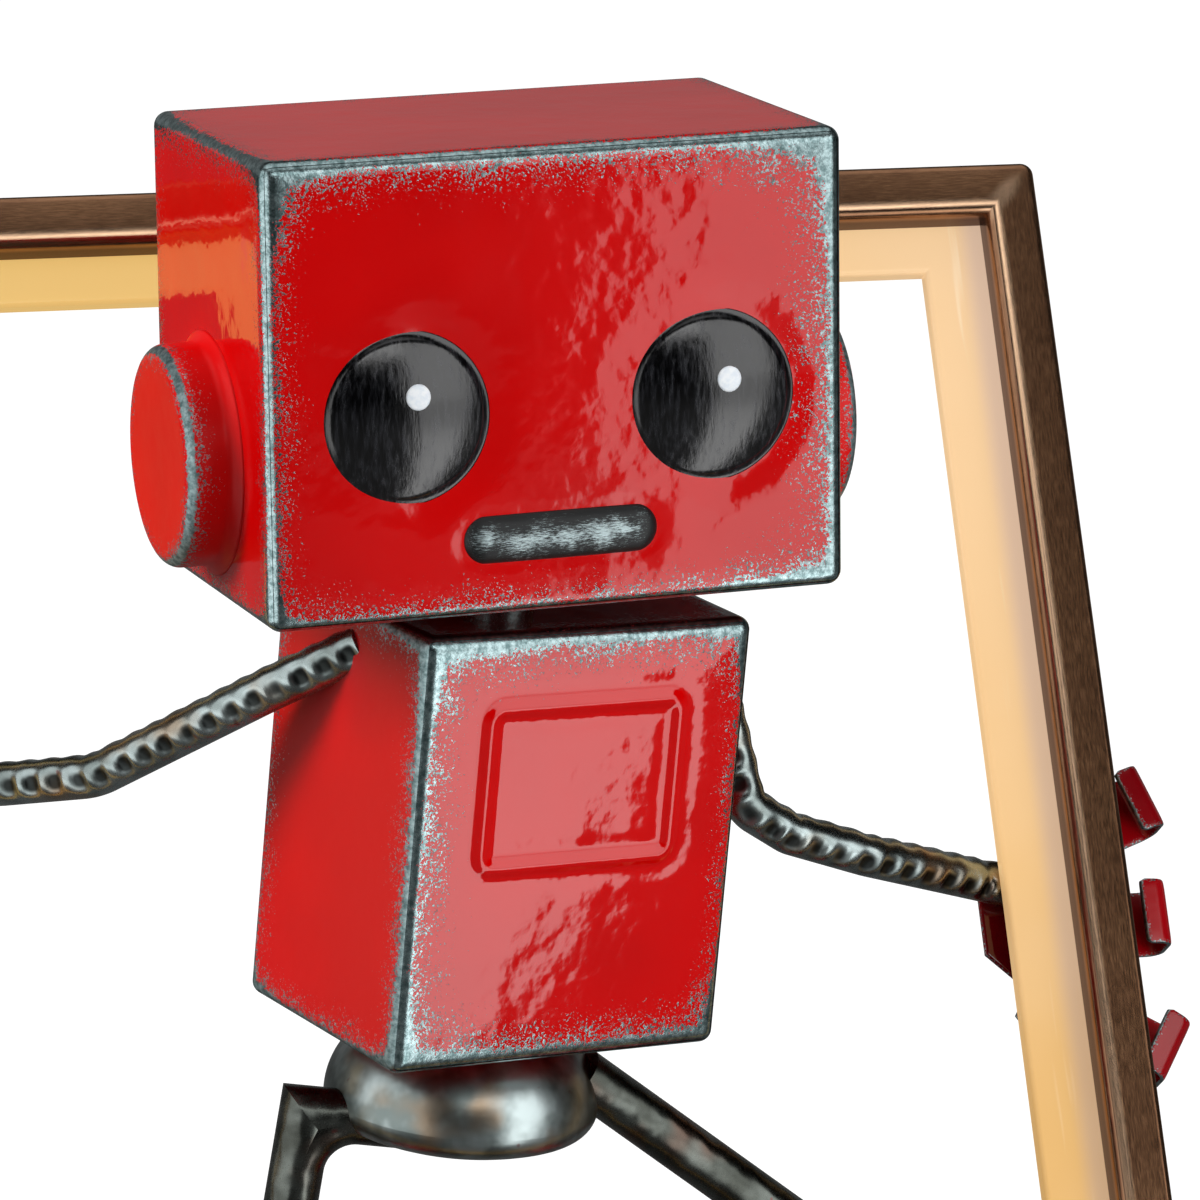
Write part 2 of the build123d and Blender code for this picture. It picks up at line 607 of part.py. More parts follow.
nodes["stud_nuts"] = Compound(stud_nuts)

base_plate = Pos(0, 0, base_under + sheet / 2) * Box(
    head_width - 2 * head_edge_radius, head_depth - 2 * head_edge_radius, sheet)
nodes["head_base"] = head_place * (
    base_plate - Cylinder(spindle_diameter / 2 + spindle_clearance, through))
nodes["head_shell"] = head_place * head_shell

# --- Electrical parts on the back cover ---
jack_place = back.location * Pos(0, jack_height, 0)
jack_radius = jack_thread_diameter / 2
jack_tube = Pos(0, 0, -jack_length / 2) * Cylinder(jack_radius, jack_length)
jack_flange = Pos(0, 0, jack_flange_thickness / 2) * Cylinder(
    jack_flange_diameter / 2, jack_flange_thickness)
jack_socket = Pos(0, 0, jack_flange_thickness - jack_length / 2) * Cylinder(
    jack_bore / 2, jack_length)
jack_pin = Pos(0, 0, -jack_length / 2) * Cylinder(jack_pin_diameter / 2, jack_length)
nodes["power_jack"] = torso_place * jack_place * (
    jack_tube + jack_flange - jack_socket + jack_pin)
nodes["jack_nut"] = torso_place * jack_place * (
    Pos(0, 0, -sheet - jack_nut_thickness) * hexagon(jack_nut_width, jack_nut_thickness)
    - Cylinder(jack_radius, through))
back_cover -= jack_place * Cylinder(jack_radius + hole_clearance, 4 * sheet)

switch_place = back.location * Pos(0, switch_height, 0)
bezel = Pos(0, 0, switch_bezel[2] / 2) * Box(*switch_bezel)
bezel = fillet(bezel.edges().group_by(Axis.Z)[-1], switch_bezel_radius)
body = Pos(0, 0, -switch_body[2] / 2) * Box(*switch_body)
well = Box(rocker_opening[0], rocker_opening[1], 2 * (switch_body[2] - switch_floor))
pivot_hole = Rot(0, 90, 0) * Cylinder(rocker_pivot_diameter / 2 + pivot_clearance,
                                      switch_body[0])
nodes["switch_housing"] = torso_place * switch_place * (bezel + body - well - pivot_hole)
back_cover -= switch_place * Box(switch_body[0] + 2 * hole_clearance,
                                 switch_body[1] + 2 * hole_clearance, 4 * sheet)
half_length = rocker_size[1] / 2
rocker_profile = Polyline((-half_length, -rocker_below), (half_length, -rocker_below),
                          (half_length, rocker_end_rise), (0, rocker_middle_rise),
                          (-half_length, rocker_end_rise), close=True)
rocker_face = Plane(origin=(-rocker_size[0] / 2, 0, 0), x_dir=(0, 1, 0),
                    z_dir=(1, 0, 0)) * make_face(rocker_profile)
rocker = extrude(rocker_face, rocker_size[0])
rocker += Rot(0, 90, 0) * Cylinder(rocker_pivot_diameter / 2,
                                   switch_body[0] - 2 * rocker_end_play)
nodes["switch_rocker"] = torso_place * switch_place * Rot(-rocker_half_travel, 0, 0) * rocker

board_depth = switch_body[2] + board_gap
board_place = back.location * Pos(0, 0, -sheet - board_depth)
board = Box(*board_size)
for spot, block in board_parts:
    board += Pos(spot[0], spot[1], -(board_size[2] + block[2]) / 2) * Box(*block)
spacer_reach = board_depth - board_size[2] / 2
spacers = []
for across in (-1, 1):
    for up in (-1, 1):
        spot = Pos(across * (board_size[0] / 2 - spacer_margin),
                   up * (board_size[1] / 2 - spacer_margin),
                   (board_size[2] + spacer_reach) / 2)
        spacers.append(torso_place * board_place * spot
                       * Cylinder(spacer_diameter / 2, spacer_reach))
nodes["driver_board"] = torso_place * board_place * board
nodes["board_spacers"] = Compound(spacers)
nodes["back_cover"] = torso_place * back_cover
nodes["cover_screws"] = Compound([screw(cover_screw_length, torso_place * place)
                                  for place in cover_screw_places])

nodes["torso_shell"] = torso_place * torso_shell
for name, solid in nodes.items():
    export_step(solid, "parts/" + name + ".step")
    print(name, len(solid.solids()))
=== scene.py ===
import math

import bmesh
import bpy
import numpy as np
from mathutils import Matrix, Vector


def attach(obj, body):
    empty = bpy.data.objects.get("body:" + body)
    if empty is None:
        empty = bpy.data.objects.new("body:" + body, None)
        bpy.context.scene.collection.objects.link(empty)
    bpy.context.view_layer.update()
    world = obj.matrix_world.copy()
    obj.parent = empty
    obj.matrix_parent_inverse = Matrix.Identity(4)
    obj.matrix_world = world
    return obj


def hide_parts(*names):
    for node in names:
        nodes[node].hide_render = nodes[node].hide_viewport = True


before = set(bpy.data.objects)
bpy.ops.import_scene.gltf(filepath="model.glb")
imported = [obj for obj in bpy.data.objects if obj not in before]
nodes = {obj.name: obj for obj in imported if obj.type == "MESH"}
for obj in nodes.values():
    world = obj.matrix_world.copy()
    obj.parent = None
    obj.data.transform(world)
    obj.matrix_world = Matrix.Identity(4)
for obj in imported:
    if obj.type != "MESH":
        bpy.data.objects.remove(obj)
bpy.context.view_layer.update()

MM = 0.001

# --- Sizes and places of the lamp's main forms, in millimetres and degrees ---
TORSO_FLOOR = (-3.6, -38.0, 151.1)
TORSO_SIZE = (83.1, 64.0, 97.3)
TORSO_TURNS = (("Z", 19.9), ("X", 3.7), ("Y", 3.6))
TORSO_EDGE = 3.0
HEAD_OFFSET = (-4.9, -4.8, 5.8)          # from the torso's top to the head's underside
HEAD_SIZE = (128.9, 82.7, 99.6)
HEAD_TURNS = (("Z", 7.5), ("X", -0.2), ("Y", -0.65))
HEAD_EDGE = 3.2
EYE_SPACING = 68.2
EYE_RADIUS = 18.2
EYE_DOME = 4.0
EYE_HEIGHT = 44.0                        # above the head's underside
MOUTH_SIZE = (43.1, 10.3, 1.6)
MOUTH_HEIGHT = 16.6
EAR_RADIUS = 24.0
EAR_REACH = 11.5
EAR_RIM = 3.4
EAR_HEIGHT = 31.1
EAR_SETBACK = 2.0
CHEST_SIZE = (48.0, 35.5)                # crest of the pressed bead
CHEST_HEIGHT = 14.2                      # above the torso's middle
CHEST_CORNER = 3.2
FRAME_SIZE = (308.0, 356.5)
FRAME_LEAN = 31.0
BAR_DEPTH = 24.0
PAD_UNDER = 1.5
PALM_SHEET = 1.3
PALM_APOTHEM = 18.0
PALM_FROM_SIDE = 12.0
PALM_DOWN = {"left": 140.0, "right": 180.0}
FINGER_WIDTH = 15.5
FINGER_SHEET = 1.3
FINGER_BEND = 3.2
FINGER_FORWARD = 11.0
FINGER_RETURN = 6.0
FINGER_RISE = 1.5
# outside the bar, below the palm's middle, direction, leg length
FINGERS = ((11.7, -26.5, 20.0, 28.0), (12.1, 1.9, 0.0, 28.0), (10.0, 35.0, -32.0, 36.0))
ARM_RADIUS = 5.0
BOOT_SIZE = (34.0, 56.0, 22.0)
BOOT_CORNER = 10.2
BOOT_EDGE = 4.0
BOOT_TOE_OUT = 8.0
SOLE = 3.0
ANKLES = {"left": (-63.0, -44.0), "right": (85.0, -34.0)}


def move(x, y, z):
    """A shift by millimetres."""
    return Matrix.Translation((x * MM, y * MM, z * MM))


def turned(*turns):
    """A rotation made of (axis, degrees) turns, of which the last acts first."""
    result = Matrix.Identity(4)
    for axis, degrees in turns:
        result = result @ Matrix.Rotation(math.radians(degrees), 4, axis)
    return result


torso_half = TORSO_SIZE[2] / 2
head_half = HEAD_SIZE[2] / 2
TORSO = move(*TORSO_FLOOR) @ turned(*TORSO_TURNS) @ move(0, 0, torso_half)
torso_top = (TORSO @ move(0, 0, torso_half)).translation
HEAD = (Matrix.Translation(torso_top) @ move(*HEAD_OFFSET) @ turned(*HEAD_TURNS)
        @ move(0, 0, head_half))
lean = math.radians(FRAME_LEAN)
frame_front = -(FRAME_SIZE[1] * math.sin(lean) + BAR_DEPTH * math.cos(lean)) / 2
frame_foot = PAD_UNDER + BAR_DEPTH * math.sin(lean)
# Local axes of the lit frame: X across, Y up along the bars, Z out of its front.
LIT = move(0, frame_front, frame_foot) @ Matrix.Rotation(math.pi / 2 - lean, 4, "X")
FACE = Matrix.Rotation(math.pi / 2, 4, "X")   # local Z out of a front that looks along -Y


# --- Meshes from arrays ---
QUARTER = np.linspace(0, math.pi / 2, 9)


def ring(count):
    """Even angles of a full turn."""
    return np.linspace(0, 2 * math.pi, count, endpoint=False)


def signed_power(x, power):
    """The power of the size of x, with the sign of x."""
    return np.sign(x) * np.abs(x) ** power


def grid_quads(rows, columns, wrap, start=0):
    """Corners of the cells of a grid of points, row by row; wrap joins the last column
    to the first."""
    i = np.arange(rows - 1)[:, None]
    j = np.arange(columns if wrap else columns - 1)[None, :]
    k = (j + 1) % columns
    cells = [i * columns + j, i * columns + k, (i + 1) * columns + k, (i + 1) * columns + j]
    return np.stack(np.broadcast_arrays(*cells), -1).reshape(-1, 4) + start


def piece(name, grids, place, body, material, replaces=(), wrap=True, crease=0):
    """One object from grids of points in millimetres, each with a wear distance per point.
    Doubles are merged, so poles and seams close, and the faces are turned outwards. Edges
    that turn by more than crease degrees stay sharp, where it is given."""
    points, quads, wear, start = [], [], [], 0
    for grid, distance in grids:
        rows, columns = grid.shape[:2]
        points.append(grid.reshape(-1, 3) * MM)
        wear.append(np.broadcast_to(distance, (rows, columns)).reshape(-1))
        quads.append(grid_quads(rows, columns, wrap, start))
        start += rows * columns
    mesh = bpy.data.meshes.new(name)
    mesh.from_pydata(np.concatenate(points).tolist(), [], np.concatenate(quads).tolist())
    mesh.attributes.new("wear", "FLOAT", "POINT").data.foreach_set(
        "value", np.concatenate(wear).astype(np.float32))
    shape = bmesh.new()
    shape.from_mesh(mesh)
    bmesh.ops.remove_doubles(shape, verts=shape.verts, dist=1e-6)
    bmesh.ops.dissolve_degenerate(shape, edges=shape.edges, dist=1e-7)
    bmesh.ops.recalc_face_normals(shape, faces=shape.faces)
    shape.to_mesh(mesh)
    shape.free()
    mesh.transform(place)
    mesh.shade_smooth()
    if crease:
        mesh.set_sharp_from_angle(angle=math.radians(crease))
    mesh.materials.append(material)
    thing = bpy.data.objects.new(name, mesh)
    bpy.context.scene.collection.objects.link(thing)
    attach(thing, body)
    if replaces:
        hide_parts(*replaces)


def side_marks(half, radius, step):
    """Places across one side of a box: even on the flat, then tan(angle) times the radius
    up to 45 degrees, so that the rounded edge gets even turns."""
    flat = np.linspace(radius - half, half - radius, round(2 * (half - radius) / step) + 1)
    bend = radius * np.tan(np.linspace(0, math.pi / 4, 5)[1:])
    return np.concatenate([radius - half - bend[::-1], flat, half - radius + bend])


CORNER_WEAR = 3.5
CORNER_WEAR_REACH = 6.0


def rounded_block(size, radius, step, front_relief, front_reach, other_reach):
    """Six grids over a box with rounded edges. A point is the nearest point of the inner
    box plus the radius along the way out. The front (-Y) is moved out by front_relief(x, z).
    The wear distance is the distance to the nearest edge, less near a corner, over the reach
    of the wear there, which front_reach(x, z) gives for the front."""
    half = np.array(size) / 2
    grids = []
    for n in range(3):
        u, v = (n + 1) % 3, (n + 2) % 3
        across, along = np.meshgrid(side_marks(half[u], radius, step),
                                    side_marks(half[v], radius, step), indexing="ij")
        for sign in (-1, 1):
            point = np.zeros(across.shape + (3,))
            point[..., n] = sign * half[n]
            point[..., u] = across
            point[..., v] = along
            core = np.clip(point, radius - half, half - radius)
            out = point - core
            point = core + radius * out / np.linalg.norm(out, axis=-1, keepdims=True)
            gaps = np.sort(half - np.abs(point), axis=-1)
            wear = gaps[..., 1] - CORNER_WEAR * np.exp(-gaps[..., 2] / CORNER_WEAR_REACH)
            reach = other_reach
            if n == 1 and sign == -1:
                reach = front_reach(point[..., 0], point[..., 2])
                point[..., 1] -= front_relief(point[..., 0], point[..., 2])
            grids.append((point, wear / reach))
    return grids


def lathe(radii, heights, wear, turns=96):
    """A profile of radii and heights turned about local Z."""
    angle = ring(turns)[None, :]
    radii = np.asarray(radii)[:, None]
    heights = np.broadcast_to(np.asarray(heights)[:, None], (len(radii), turns))
    grid = np.stack([radii * np.cos(angle), radii * np.sin(angle), heights], -1)
    return [(grid, np.asarray(wear)[:, None])]


def smooth(x, low, high):
    """0 below low, 1 above high, and 3t^2 - 2t^3 between."""
    t = np.clip((x - low) / (high - low), 0, 1)
    return t * t * (3 - 2 * t)


def stadium_distance(x, z, length, across):
    """Distance outside a flat pill of this length and height; negative inside."""
    run = length / 2 - across / 2
    return np.hypot(np.maximum(np.abs(x) - run, 0), z) - across / 2


def frame_distance(x, z, size, corner):
    """Distance outside the outline of a rectangle with round corners; negative inside."""
    qx = np.abs(x) - size[0] / 2 + corner
    qz = np.abs(z) - size[1] / 2 + corner
    return (np.hypot(np.maximum(qx, 0), np.maximum(qz, 0))
            + np.minimum(np.maximum(qx, qz), 0) - corner)


EASE_DEPTH = 0.3
EASE_REACH = 4.0


def edge_ease(x, z, size):
    """How far a front sheet lies back near its edges, where it was folded: the depth at
    the edge, falling as the exponential of the distance over the reach."""
    gap = np.minimum(size[0] / 2 - np.abs(x), size[2] / 2 - np.abs(z))
    return EASE_DEPTH * np.exp(-np.maximum(gap, 0) / EASE_REACH)


def bent_path(points, radius, step):
    """Straight runs joined by arcs of one radius, as points at even steps. Each arc's
    points are its centre plus the radius turned from one tangent point to the other."""
    points = [Vector(p) for p in points]
    path = [points[0]]
    for before, corner, after in zip(points, points[1:], points[2:]):
        a, b = (before - corner).normalized(), (after - corner).normalized()
        half = a.angle(b) / 2
        centre = corner + (a + b).normalized() * radius / math.sin(half)
        first = corner + a * radius / math.tan(half) - centre
        last = corner + b * radius / math.tan(half) - centre
        for share in np.linspace(0, 1, 12):
            path.append(centre + first.lerp(last, share).normalized() * radius)
    path.append(points[-1])
    path = np.array([tuple(p) for p in path])
    length = np.concatenate([[0], np.cumsum(np.linalg.norm(np.diff(path, axis=0), axis=1))])
    even = np.linspace(0, length[-1], round(length[-1] / step) + 1)
    return np.stack([np.interp(even, length, path[:, i]) for i in range(3)], -1), even


def swept(path, towards, first, second):
    """A ring of section points carried along a path. first is measured along the direction
    nearest to towards at right angles to the path, second along the third direction, both
    as arrays of path points by ring points. The first and last rings close to points."""
    tangent = np.gradient(path, axis=0)
    tangent /= np.linalg.norm(tangent, axis=1, keepdims=True)
    towards = np.asarray(towards, float)
    normal = towards - (tangent @ towards)[:, None] * tangent
    normal /= np.linalg.norm(normal, axis=1, keepdims=True)
    third = np.cross(tangent, normal)
    grid = (path[:, None] + first[..., None] * normal[:, None]
            + second[..., None] * third[:, None])
    ends = [np.broadcast_to(path[i], grid[0].shape)[None] for i in (0, -1)]
    return np.concatenate([ends[0], grid, ends[1]])


# --- Shader maths ---
class Wire:
    """An output socket of a node tree. Arithmetic on it adds Math nodes."""

    def __init__(self, tree, socket=None):
        self.tree = tree
        self.socket = socket

    def node(self, kind, settings=None, values=None, out=0):
        """Adds a node, sets its settings, fills its sockets and returns one output."""
        made = self.tree.nodes.new(kind)
        for key, value in (settings or {}).items():
            setattr(made, key, value)
        for key, value in (values or {}).items():
            if isinstance(value, Wire):
                self.tree.links.new(value.socket, made.inputs[key])
            else:
                made.inputs[key].default_value = value
        return Wire(self.tree, made.outputs[out])

    def maths(self, operation, *values):
        """A Math node on these values or links."""
        return self.node("ShaderNodeMath", {"operation": operation}, dict(enumerate(values)))

    def __add__(self, other):
        return self.maths("ADD", self, other)

    def __sub__(self, other):
        return self.maths("SUBTRACT", self, other)

    def __rsub__(self, other):
        return self.maths("SUBTRACT", other, self)

    def __mul__(self, other):
        return self.maths("MULTIPLY", self, other)

    def __truediv__(self, other):
        return self.maths("DIVIDE", self, other)

    def step(self, low, high):
        """0 at low, 1 at high, smooth between."""
        return self.node("ShaderNodeMapRange", {"interpolation_type": "SMOOTHSTEP"},
                         {"Value": self, "From Min": low, "From Max": high})

    def mix(self, low, high):
        """From one colour or link to another, by this value."""
        return self.node("ShaderNodeMix", {"data_type": "RGBA"},
                         {"Factor": self, 6: low, 7: high}, out=2)

    def times(self, other):
        """The product of two colours."""
        return self.node("ShaderNodeMix", {"data_type": "RGBA", "blend_type": "MULTIPLY"},
                         {"Factor": 1.0, 6: self, 7: other}, out=2)


def colour(red, green, blue):
    """A colour written as it looks on a screen, 0 to 255, as linear light."""
    values = np.array([red, green, blue]) / 255
    linear = np.where(values <= 0.04045, values / 12.92, ((values + 0.055) / 1.055) ** 2.4)
    return (*linear.tolist(), 1.0)


def noise(point, size_mm, detail=2.0, roughness=0.5):
    """Noise whose features are about this many millimetres across."""
    return point.node("ShaderNodeTexNoise", {},
                      {"Vector": point, "Scale": 1 / (size_mm * MM), "Detail": detail,
                       "Roughness": roughness})


def bump(height, depth_mm, normal=None):
    """A surface normal from a height of 0 to 1 that stands for this many millimetres."""
    values = {"Height": height, "Distance": depth_mm * MM, "Strength": 1.0}
    if normal is not None:
        values["Normal"] = normal
    return height.node("ShaderNodeBump", {}, values)


def finish(name, values, build=None):
    """A material of one Principled shader. build(start) returns the sockets that vary."""
    material = bpy.data.materials.new(name)
    material.use_nodes = True
    tree = material.node_tree
    shader = tree.nodes["Principled BSDF"]
    start = Wire(tree)
    varied = build(start) if build else {}
    for key, value in {**values, **varied}.items():
        if isinstance(value, Wire):
            tree.links.new(value.socket, shader.inputs[key])
        else:
            shader.inputs[key].default_value = value
    return material


def object_point(start):
    """A piece's own coordinates, in metres."""
    return start.node("ShaderNodeTexCoord", out="Object")


def axes(point):
    """The three numbers of a vector."""
    return [point.node("ShaderNodeSeparateXYZ", {}, {"Vector": point}, out=name)
            for name in "XYZ"]


def stretched(point, scale, turn=(0, 0, 0)):
    """The point scaled along each axis, where a small scale draws a pattern out, and then
    turned, which only takes another part of an even noise."""
    return point.node("ShaderNodeMapping", {}, {"Vector": point, "Rotation": turn,
                                                "Scale": scale})


def wear_value(start):
    """A piece's own wear attribute."""
    return start.node("ShaderNodeAttribute", {"attribute_name": "wear"}, out="Fac")


# --- Finishes ---
RED = colour(214, 0, 1)
DEEP_RED = colour(204, 0, 1)
BARE_STEEL = colour(171, 193, 195)
DARK_STEEL = colour(97, 121, 122)
# dark colour of the painted shadow that the head casts on the torso's top
HEAD_SHADOW_DARK = colour(30, 12, 12)
# black oil and painted shade in the dents of hammered steel
OIL_AND_PAINTED_SHADE = colour(24, 25, 24)
GLOSSY = 0.05                            # the lacquer's least roughness
SATIN = 0.42                             # roughness added on the torso's left side


def lacquer(name, light=RED, dark=DEEP_RED, worn=True, waves_mm=0.15, dull=None, glint=0.66,
            painted_shadow=None):
    """Glossy red lacquer over steel. The steel shows where the noise of the flecks is over
    a threshold that rises with the wear distance, at first fast and then slowly: all bare
    at 0, half bare at 2, with a few flecks as far as 9. The gloss has the slow waves of
    hammered sheet under the fine peel of spray. dull(point) is added to its roughness, and
    the last argument, a function of the point, is how far a painted shadow darkens the surface."""
    def build(start):
        point = object_point(start)
        waves = noise(point, 11.0, 2.5, 0.55)
        peel = noise(point, 2.2, 2.0)
        tone = noise(point, 45.0).step(0.35, 0.65)
        red = tone.mix(dark, light)
        normal = bump(peel, 0.011, bump(waves, waves_mm))
        gloss = dull(point) + GLOSSY if dull else GLOSSY
        if not worn:
            return {"Base Color": red, "Normal": normal, "Roughness": gloss}
        wear = wear_value(start)
        flecks = noise(point, 0.62, 2.0, 0.8)
        drifts = noise(point, 7.0, 3.0, 0.6)
        far = wear.maths("POWER", wear.maths("MAXIMUM", wear, 0.0), 0.65)
        rim = (1.0 - wear.step(0.6, 2.0)) * 0.22
        level = flecks + (drifts - 0.5) * 0.30 - far * 0.083 - 0.37 + rim
        bare = level.step(0.0, 0.035)
        stain = noise(point, 1.6, 3.0, 0.7).step(0.3, 0.7)
        steel = stain.mix(BARE_STEEL, DARK_STEEL)
        base = bare.mix(red, steel)
        # painted shadow: the surface turns dark where the given function says
        if painted_shadow:
            base = painted_shadow(point).mix(base, HEAD_SHADOW_DARK)
        return {"Base Color": base, "Metallic": bare * 0.95,
                "Roughness": bare * 0.17 + gloss, "Normal": bump(bare * flecks, 0.05, normal)}
    return finish(name, {"Specular IOR Level": glint}, build)


def torso_axes(point):
    """The three numbers of a place on the torso, from its middle."""
    back = TORSO.inverted()
    local = point.node("ShaderNodeMapping", {}, {"Vector": point, "Location": back.translation,
                                                 "Rotation": back.to_euler()})
    return axes(local)


def torso_side_dull(point):
    """How dull the lacquer is: satin on the torso's left side, glossy elsewhere."""
    half = TORSO_SIZE[0] / 2 * MM
    return (torso_axes(point)[0] * -1.0).step(half - 0.0012, half - 0.0002) * SATIN


def torso_top_painted_shadow(point):
    """Painted shadow of the head: how far the torso's top face, below the head, is painted
    dark.
    """
    half = TORSO_SIZE[2] / 2 * MM
    return torso_axes(point)[2].step(half - 0.0008, half - 0.0002) * 0.92


red_worn = lacquer("red_lacquer_worn")
# the torso's top face carries a painted shadow of the head
red_torso = lacquer("red_lacquer_torso", waves_mm=0.17, dull=torso_side_dull,
                    painted_shadow=torso_top_painted_shadow)
red_ear = lacquer("red_lacquer_ear", dull=lambda point: noise(point, 6.0) * 0.10 + 0.27,
                  glint=0.26)
red_sheet = lacquer("red_lacquer_plain", worn=False)
palm_red = lacquer("palm_lacquer", colour(112, 3, 10), colour(84, 2, 8))
finger_red = lacquer("finger_lacquer", colour(158, 4, 14), colour(116, 2, 9), waves_mm=0.12,
                     dull=lambda point: noise(point, 4.0) * 0.10 + 0.10, glint=0.46)
boot_red = lacquer("boot_lacquer")


def hammered(name, light, dark, warm_tone, dent_mm, dull=0.19):
    """Oiled steel: warm and cool stains, soft hammer marks and a brushed grain. A piece's
    own dents, whose depth is in its wear attribute, are darkened with black oil and painted
    shade."""
    def build(start):
        point = object_point(start)
        dent = wear_value(start)
        stain = noise(point, 12.0, 3.0, 0.6).step(0.35, 0.65)
        grain = noise(point, 0.7, 3.0, 0.7)
        warm = noise(point, 16.0, 2.0).step(0.50, 0.72)
        base = warm.mix(stain.mix(light, dark), warm_tone)
        red = noise(point, 5.0, 2.0).step(0.70, 0.76)
        tinted = (red * 0.5).mix(base, colour(120, 20, 16))
        marks = noise(point, 8.0, 1.0)
        # the dents are darkened with black oil and painted shade
        return {"Base Color": (dent.step(0.25, 0.80) * 0.92).mix(tinted, OIL_AND_PAINTED_SHADE),
                "Roughness": grain * 0.14 + dull + dent * 0.12,
                "Normal": bump(grain, 0.008, bump(marks, dent_mm))}
    return finish(name, {"Metallic": 1.0}, build)


steel_dark = hammered("hammered_steel", colour(171, 184, 184), colour(128, 139, 137),
                      colour(160, 142, 121), 0.30)
steel_bowl = hammered("bowl_steel", colour(184, 197, 197), colour(124, 135, 133),
                      colour(160, 142, 121), 0.12, 0.24)
steel_black = hammered("leg_steel", colour(105, 110, 105), colour(71, 74, 69),
                       colour(96, 80, 71), 0.9)


def enamel(start):
    """Satin black enamel with upright brush marks."""
    point = object_point(start)
    strokes = stretched(point, (1.0, 1.0, 0.16), (0, 0.6, 0))
    marks = noise(strokes, 1.1, 3.0, 0.65)
    clouds = noise(point, 6.0, 2.0)
    rub = marks.step(0.40, 0.75)
    return {"Base Color": rub.mix(colour(4, 4, 5), colour(36, 37, 41)),
            "Roughness": rub * 0.16 + clouds * 0.10 + 0.10, "Normal": bump(marks, 0.05)}


eye_black = finish("eye_enamel", {"Specular IOR Level": 0.78}, enamel)


def white_enamel(start):
    """Satin white enamel with a faint mottle."""
    point = object_point(start)
    mottle = noise(point, 1.2).step(0.3, 0.7)
    return {"Base Color": mottle.mix(colour(226, 234, 242), colour(243, 247, 250)),
            "Normal": bump(noise(point, 0.5), 0.004)}


dot_white = finish("eye_dot_enamel", {"Roughness": 0.35}, white_enamel)


def rubbed(start):
    """Black enamel rubbed through to bright streaks along the crest."""
    point = object_point(start)
    marks = noise(stretched(point, (0.10, 1.0, 1.0)), 0.24, 4.0, 0.8)
    clouds = noise(point, 6.0).step(0.3, 0.7)
    bare = (marks - 0.43 - wear_value(start) * 0.060 + clouds * 0.18).step(0.0, 0.28)
    return {"Base Color": bare.mix(colour(14, 16, 17), colour(188, 206, 208)),
            "Metallic": bare * 0.8 + 0.1, "Roughness": 0.44 - bare * 0.14,
            "Normal": bump(marks, 0.03)}


mouth_black = finish("mouth_enamel", {}, rubbed)


def frame_point(start):
    """Places on the lit frame: X across, Y up from its middle, Z out of its front."""
    back = LIT.inverted()
    middle = FRAME_SIZE[1] / 2 * MM
    shift = (back.translation.x, back.translation.y - middle, back.translation.z)
    return start.node("ShaderNodeMapping", {},
                      {"Vector": object_point(start), "Rotation": tuple(back.to_euler()),
                       "Location": shift})


def bronze_brushed(start):
    """Dark bronze with fine brush strokes along each bar. A place belongs to an upright bar
    where it is nearer to the outer side than to the frame's top or bottom, which gives
    mitred corners with a rubbed streak in each. The rolled inner edge carries a painted
    highlight along its whole length. The step's wall, deep and inwards, is darkened with
    painted shade. Gaps are in metres."""
    point = frame_point(start)
    x, y, z = axes(point)
    side_gap = FRAME_SIZE[0] / 2 * MM - x.maths("ABSOLUTE", x)
    end_gap = FRAME_SIZE[1] / 2 * MM - y.maths("ABSOLUTE", y)
    level_bar = (side_gap - end_gap).step(-0.0002, 0.0002)
    strokes = point.node("ShaderNodeMix", {"data_type": "VECTOR"},
                         {"Factor": level_bar, 4: stretched(point, (1.0, 0.08, 1.0)),
                          5: stretched(point, (0.08, 1.0, 1.0))}, out=1)
    speckle = noise(strokes, 0.34, 2.0, 0.8)
    clouds = noise(point, 24.0, 3.0).step(0.3, 0.7)
    inwards = side_gap.maths("MINIMUM", side_gap, end_gap)
    mitre = 1.0 - side_gap.maths("ABSOLUTE", side_gap - end_gap).step(0.0008, 0.0045)
    # painted highlight along the whole rolled inner edge
    ridge = inwards.step(0.0086, 0.0098) * (1.0 - inwards.step(0.0104, 0.0116)) * 0.75
    rub_and_highlight = mitre * inwards.step(0.002, 0.007) * (1.0 - inwards.step(0.0105, 0.0125)) * 0.7
    # the mitres' rubbed streaks and the painted highlight share one lighter colour
    rub_and_highlight = rub_and_highlight.maths("MAXIMUM", rub_and_highlight, ridge)
    tone = speckle.step(0.30, 0.70)
    base = clouds.mix(tone.mix(colour(119, 85, 62), colour(142, 104, 77)),
                      tone.mix(colour(133, 96, 70), colour(157, 117, 87)))
    rubbed_and_highlit_base = rub_and_highlight.mix(base, colour(228, 190, 155))
    # painted shade on the step's wall
    painted_step_shade = inwards.step(0.0117, 0.0123) * (z * -1.0).step(0.0028, 0.0050) * 0.8
    return {"Base Color": painted_step_shade.mix(rubbed_and_highlit_base, colour(60, 30, 21)),
            "Roughness": tone * 0.08 + 0.19, "Normal": bump(speckle, 0.004)}


bronze = finish("bronze", {"Metallic": 0.95}, bronze_brushed)


